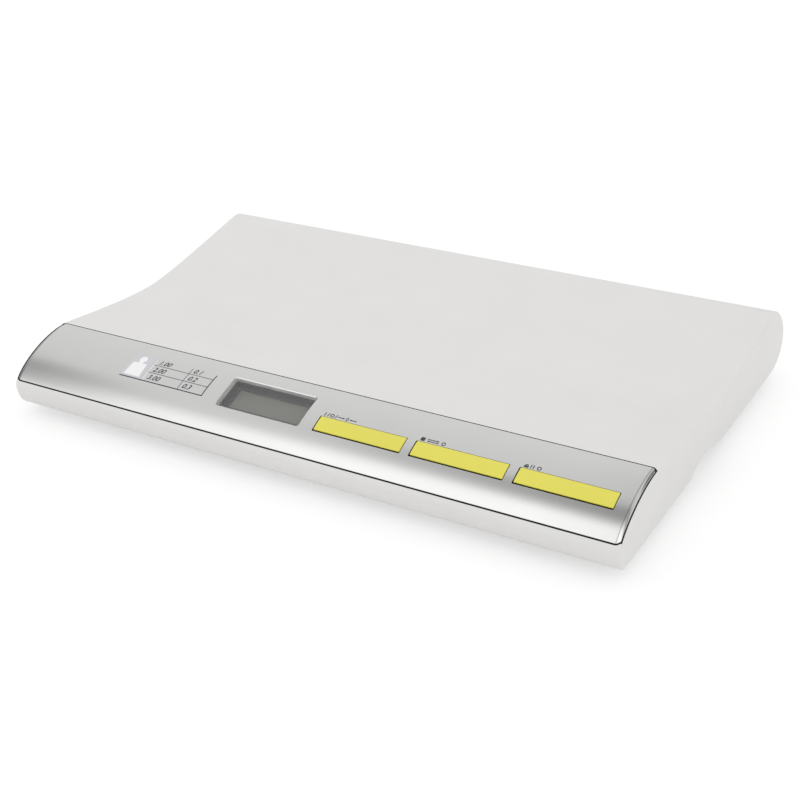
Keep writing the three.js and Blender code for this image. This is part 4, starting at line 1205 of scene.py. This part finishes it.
def base_cover():
    plate_x = 2 * (OPENING_X - FIT)
    plate_y = OPENING_REAR_Y - OPENING_FRONT_Y - 2 * FIT
    place = Matrix.Translation((0, (OPENING_FRONT_Y + OPENING_REAR_Y) / 2, 0))
    cover = rounded_plate("underside_cover", plate_x, plate_y, COVER_CORNER, COVER_Z, COVER_TOP,
                          place, COVER_EDGE)
    low = COVER_Z + COVER_EDGE
    pocket_roof = STANDOFF + ARCH_HEIGHT + POCKET_CLEAR
    inner_x = OPENING_X - POCKET_DEPTH
    from_y, to_y = ARCH_FRONT_Y - POCKET_MARGIN, ARCH_REAR_Y + POCKET_MARGIN
    added, cut = [], []
    for x, y in foot_middles:
        added.append(disc("well", WELL_RADIUS + WELL_WALL, low, WELL_ROOF + WELL_WALL, x, y))
        cut.append(flared_hole(MOUTH_RADIUS, COVER_Z, COVER_TOP, WELL_RADIUS, WELL_ROOF, x, y))
    for x, y in screw_middles:
        added.append(disc("collar", COLLAR_RADIUS, low, COVER_TOP + COLLAR_HEIGHT, x, y, 48))
        cut.append(flared_hole(COUNTERBORE_RADIUS, COVER_Z, COUNTERBORE_TOP, SCREW_HOLE,
                               COVER_TOP + COLLAR_HEIGHT + OVERRUN, x, y))
    for side in (-1, 1):
        outer = sorted((side * (inner_x - POCKET_WALL), side * (OPENING_X - 2 * FIT)))
        inner = sorted((side * inner_x, side * END_X))
        added.append(box_piece("pocket", *outer, from_y - POCKET_WALL, to_y + POCKET_WALL, low,
                               pocket_roof + POCKET_WALL))
        cut.append(box_piece("pocket_inside", *inner, from_y, to_y, COVER_Z - OVERRUN, pocket_roof))
    outer_bay = BAY_HALF_X + BAY_WALL
    added.append(box_piece("bay", -outer_bay, outer_bay, BAY_FRONT_Y - BAY_WALL,
                           BAY_REAR_Y + BAY_WALL, low, BAY_ROOF + BAY_WALL))
    cut.append(box_piece("bay_inside", -BAY_HALF_X, BAY_HALF_X, BAY_FRONT_Y, BAY_REAR_Y,
                         COVER_Z - OVERRUN, BAY_ROOF))
    combined(cover, [merged(added)], "UNION")
    combined(cover, [merged(cut)], "DIFFERENCE")
    tab_room = box_piece("tab_room", BAY_WALL - BAY_HALF_X, BAY_HALF_X - BAY_WALL,
                         BAY_FRONT_Y - BAY_WALL - OVERRUN, BAY_FRONT_Y + OVERRUN, COVER_TOP,
                         BAY_ROOF)
    smooth(combined(cover, [tab_room], "DIFFERENCE"))
    dressed(cover, cover_plastic, "housing", "cover_plastic", "base_cover")


def battery_door():
    half_x = BAY_HALF_X - FIT
    from_y, to_y = BAY_FRONT_Y + FIT, BAY_REAR_Y - FIT
    top = COVER_Z + DOOR_THICKNESS
    middle_z = COVER_Z + DOOR_THICKNESS / 2
    place = Matrix.Translation((0, (from_y + to_y) / 2, 0))
    door = rounded_plate("battery_hatch", 2 * half_x, to_y - from_y, DOOR_CORNER, COVER_Z, top, place,
                         DOOR_EDGE)
    latch_y = to_y - LATCH_CLEAR
    latch_x = LATCH_WIDTH / 2
    added = [box_piece("latch", -latch_x, latch_x, latch_y - LATCH_THICKNESS, latch_y, middle_z,
                       top + LATCH_HEIGHT)]
    tab_z = COVER_TOP + FIT
    for side in (-1, 1):
        x = side * (BAY_HALF_X - BAY_WALL - TAB_WIDTH)
        left, right = x - TAB_WIDTH / 2, x + TAB_WIDTH / 2
        rise = box_piece("tab_rise", left, right, from_y + FIT / 10, from_y + TAB_THICKNESS, middle_z,
                         tab_z + TAB_THICKNESS)
        reach = box_piece("tab_reach", left, right, from_y - TAB_REACH, from_y + TAB_THICKNESS / 2,
                          tab_z, tab_z + TAB_THICKNESS - FIT / 10)
        added += [rise, reach]
    combined(door, added, "UNION")
    grooves = []
    for i in range(GROOVE_COUNT):
        y = latch_y - (i + 1) * GROOVE_PITCH
        outline = [
            (y, COVER_Z - OVERRUN), (y, COVER_Z), (y + GROOVE_PITCH / 8, COVER_Z + GROOVE_DEPTH),
            (y + GROOVE_PITCH * 3 / 8, COVER_Z + GROOVE_DEPTH), (y + GROOVE_PITCH / 2, COVER_Z),
            (y + GROOVE_PITCH / 2, COVER_Z - OVERRUN),
        ]
        grooves.append(along_x("groove", outline, -latch_x, latch_x))
    smooth(combined(door, [merged(grooves)], "DIFFERENCE"))
    dressed(door, cover_plastic, "door", "cover_plastic", "battery_door")


def cover_screws():
    """A pan head with a cross recess on a short shank; the screws share one shape."""
    low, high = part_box("cover_screw_1")
    length = (high.z - low.z) / MM
    radius = (high.x - low.x) / (2 * MM)
    profile = [(0, 0)]
    for turn in spread(0, math.pi / 2, 5):
        across = SCREW_FLAT + (1 - SCREW_FLAT) * math.sin(turn)
        profile.append((radius * across, SCREW_CROWN * (1 - math.cos(turn))))
    profile += [(radius, SCREW_HEAD), (SCREW_SHANK, SCREW_HEAD), (SCREW_SHANK, length - SCREW_SHANK)]
    shape = lathe("cover_screw", [*profile, (SCREW_TIP, length), (0, length)], 48)
    reach = CROSS_REACH * radius
    slots = [
        box_piece("blade", -reach, reach, -CROSS_HALF, CROSS_HALF, -SCREW_HEAD,
                  CROSS_DEPTH * SCREW_HEAD, Matrix.Rotation(turn, 4, "Z"))
        for turn in (math.pi / 4, 3 * math.pi / 4)
    ]
    smooth(combined(shape, slots, "DIFFERENCE"))
    for i, (x, y) in enumerate(screw_middles):
        screw = shape if i == 0 else shape.copy()
        if i:
            bpy.context.scene.collection.objects.link(screw)
        screw.name = f"cross_screw_{i + 1}"
        screw.location = Vector((x, y, low.z / MM)) * MM
        bpy.context.view_layer.update()
        dressed(screw, screw_steel, "housing", "screw_steel", f"cover_screw_{i + 1}")


def batteries():
    """Smooth cells with a rolled sleeve, a steel end and a nub; they lie head to tail."""
    low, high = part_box("battery_cell_1")
    tip = (high.x - low.x) / (2 * MM)
    radius = (high.z - low.z) / (2 * MM)
    shoulder = tip - NUB_RISE
    rim = radius - SLEEVE_RIM
    edge = [(radius - SLEEVE_EDGE * side, SLEEVE_EDGE * face) for side, face in round_edge(4)]
    profile = [(0, END_STEP - tip), (rim, END_STEP - tip), (rim + SLEEVE_LIP, -tip)]
    profile += [(r, rise - tip) for r, rise in edge]
    profile += [(r, shoulder - rise) for r, rise in reversed(edge)]
    profile += [(rim + SLEEVE_LIP, shoulder), (rim, shoulder - END_STEP)]
    profile += [(NUB_RADIUS, shoulder - END_STEP), (NUB_RADIUS, tip - END_STEP)]
    profile += [(NUB_RADIUS - END_STEP, tip), (0, tip)]
    for i in range(BATTERY_COUNT):
        node = f"battery_cell_{i + 1}"
        low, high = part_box(node)
        cell = lathe(f"battery_{i + 1}", profile, 64)
        painted(cell, jacket, spring_steel)
        for face in cell.data.polygons:
            reach = max(cell.data.vertices[v].co.xy.length for v in face.vertices)
            face.material_index = int(reach < (rim + SLEEVE_LIP / 2) * MM)
        turn = -math.pi / 2 if i % 2 else math.pi / 2
        cell.matrix_world = Matrix.Translation((low + high) / 2) @ Matrix.Rotation(turn, 4, "Y")
        bpy.context.view_layer.update()
        dressed(smooth(cell), jacket, "housing", "battery_jacket", node)


tray_shell()
silver_panel()
display_mask_and_shade()
for key_name, key_place in zip(KEYS, key_frames):
    key_bar(key_name, key_place)
    key_carrier(key_name, key_place)
printed_table()
weight_sign()
key_signs()
for foot_name in FEET:
    foot(foot_name)
base_cover()
battery_door()
cover_screws()
batteries()


# Camera
def photograph_camera():
    data = bpy.data.cameras.new("camera")
    data.lens = CAMERA_LENS
    data.clip_start = 0.01
    camera = linked("camera", data)
    place = Matrix.Translation(Vector(CAMERA_PLACE) * MM)
    heading = Matrix.Rotation(math.radians(-CAMERA_YAW), 4, "Z")
    tip = Matrix.Rotation(math.radians(90 - CAMERA_PITCH), 4, "X")
    roll = Matrix.Rotation(math.radians(CAMERA_ROLL), 4, "Z")
    camera.matrix_world = place @ heading @ tip @ roll
    bpy.context.scene.camera = camera


def ray_kind(tree, *kinds):
    """1 where the ray is one of these kinds."""
    path = add_node(tree, "LightPath")
    total = path.outputs[kinds[0]]
    for kind in kinds[1:]:
        total = add_node(tree, "Math", {0: total, 1: path.outputs[kind]}, operation="MAXIMUM")
    return total


# Levels of the studio's reflections by height angle, from straight ahead of the front (-90
# degrees) over the top (0) to straight behind (90)
LEFT_LEVELS = [(-90, 0.95), (-60, 0.92), (-46, 0.7), (-34, 0.42), (-24, 0.3), (-10, 0.25),
               (-3, 0.33), (5, 0.72), (16, 0.8), (90, 0.82)]
MIDDLE_LEVELS = [(-90, 0.95), (-62, 1.1), (-52, 1.33), (-30, 1.33), (-20, 1.12), (-12, 0.86),
                 (-5, 0.83), (15, 0.79), (45, 0.83), (90, 0.8)]
RIGHT_LEVELS = [(-90, 0.95), (-62, 1.15), (-52, 1.38), (-21, 1.38), (-15, 1.06), (-9, 0.54),
                (-4, 0.3), (3, 0.3), (9, 0.66), (16, 0.76), (48, 0.84), (90, 0.82)]

# Levels by how far a reflection points to the left (-1) or right (1): dimmer at the far left, with
# a darker stripe between -0.26 and -0.1
SIDE_LEVELS = [(-1, 0.5), (-0.85, 0.45), (-0.7, 1.0), (-0.285, 1.0), (-0.26, 0.4), (-0.1, 0.4),
               (-0.05, 1.0), (1, 1.0)]
DARK_CORNER = (0.4, 0.68, 0.6)
DARK_CORNER_SPREAD = (0.93, 0.965)
LEVEL_CHANGES = ((-0.67, -0.62), (-0.56, -0.33))


def reflections(tree, split, direction):
    """A bright panel low in front, an even grey above, and darker stretches overhead."""
    across = split.outputs["X"]
    angle = add_node(
        tree, "Math", {0: split.outputs["Y"], 1: split.outputs["Z"]}, operation="ARCTAN2"
    )
    share = between(tree, angle, 0.0, 1.0, -math.pi / 2, math.pi / 2)
    total, *others = [
        grey_ramp(tree, share, levels, -90, 90)
        for levels in (LEFT_LEVELS, MIDDLE_LEVELS, RIGHT_LEVELS)
    ]
    for following, change in zip(others, LEVEL_CHANGES):
        factor = between(tree, across, 0.0, 1.0, *change)
        total = add_node(
            tree, "Mix", {"Factor": factor, "A": total, "B": following}, data_type="RGBA"
        )
    aim = add_node(
        tree, "VectorMath", {0: direction, 1: Vector(DARK_CORNER).normalized()},
        operation="DOT_PRODUCT",
    )
    side = grey_ramp(tree, between(tree, across, 0.0, 1.0, -1.0, 1.0), SIDE_LEVELS, -1, 1)
    corner = between(tree, aim, 1.0, 0.2, *DARK_CORNER_SPREAD)
    strength = add_node(tree, "Math", {0: side, 1: corner}, operation="MULTIPLY")
    return add_node(tree, "Background", {"Color": total, "Strength": strength})


def studio_world():
    """White where the camera sees it, an even dome for light, and soft panels for reflections."""
    world = bpy.data.worlds.new("studio")
    bpy.context.scene.world = world
    world.use_nodes = True
    world.cycles.sampling_method = "NONE"
    tree = world.node_tree
    tree.nodes.clear()
    direction = coordinates(tree, "Generated")
    split = add_node(tree, "SeparateXYZ", {"Vector": direction})
    level = grey_ramp(tree, split.outputs["Z"], [(0.0, 0.88), (0.8, 1.0)])
    lit = add_node(tree, "MixShader", {
        "Fac": ray_kind(tree, "Is Glossy Ray", "Is Transmission Ray"),
        1: add_node(tree, "Background", {"Color": level}),
        2: reflections(tree, split, direction),
    })
    seen = add_node(tree, "MixShader", {
        "Fac": ray_kind(tree, "Is Camera Ray"),
        1: lit,
        2: add_node(tree, "Background", {"Color": (1, 1, 1, 1)}),
    })
    add_node(tree, "OutputWorld", {"Surface": seen})


def studio_floor():
    """A pale floor; where it is seen it glows a little, which keeps the object's shadow soft."""
    corners = [(x * FLOOR_HALF, y * FLOOR_HALF, 0) for x, y in ((-1, -1), (1, -1), (1, 1), (-1, 1))]
    floor = make_object("floor", corners, [(0, 1, 2, 3)])
    floor.location.z = -FLOOR_DROP * MM
    look, tree, shader = new_material("floor_white")
    seen = ray_kind(tree, "Is Camera Ray", "Is Glossy Ray", "Is Transmission Ray")
    tone = add_node(tree, "Mix", {
        "Factor": seen,
        "A": two_tone(tree, noise(tree, 3.0, 2.0), (0.9, 0.9, 0.9), (0.92, 0.92, 0.92)),
        "B": (0.5, 0.5, 0.5, 1),
    }, data_type="RGBA")
    wire(shader, {
        "Base Color": tone,
        "Roughness": 0.9,
        "Specular IOR Level": 0.0,
        "Emission Color": (1, 1, 1, 1),
        "Emission Strength": between(tree, seen, 0.0, 0.55, 0.0, 1.0),
    })
    floor.data.materials.append(look)


photograph_camera()
studio_world()
studio_floor()
bpy.context.scene.view_settings.view_transform = "Standard"
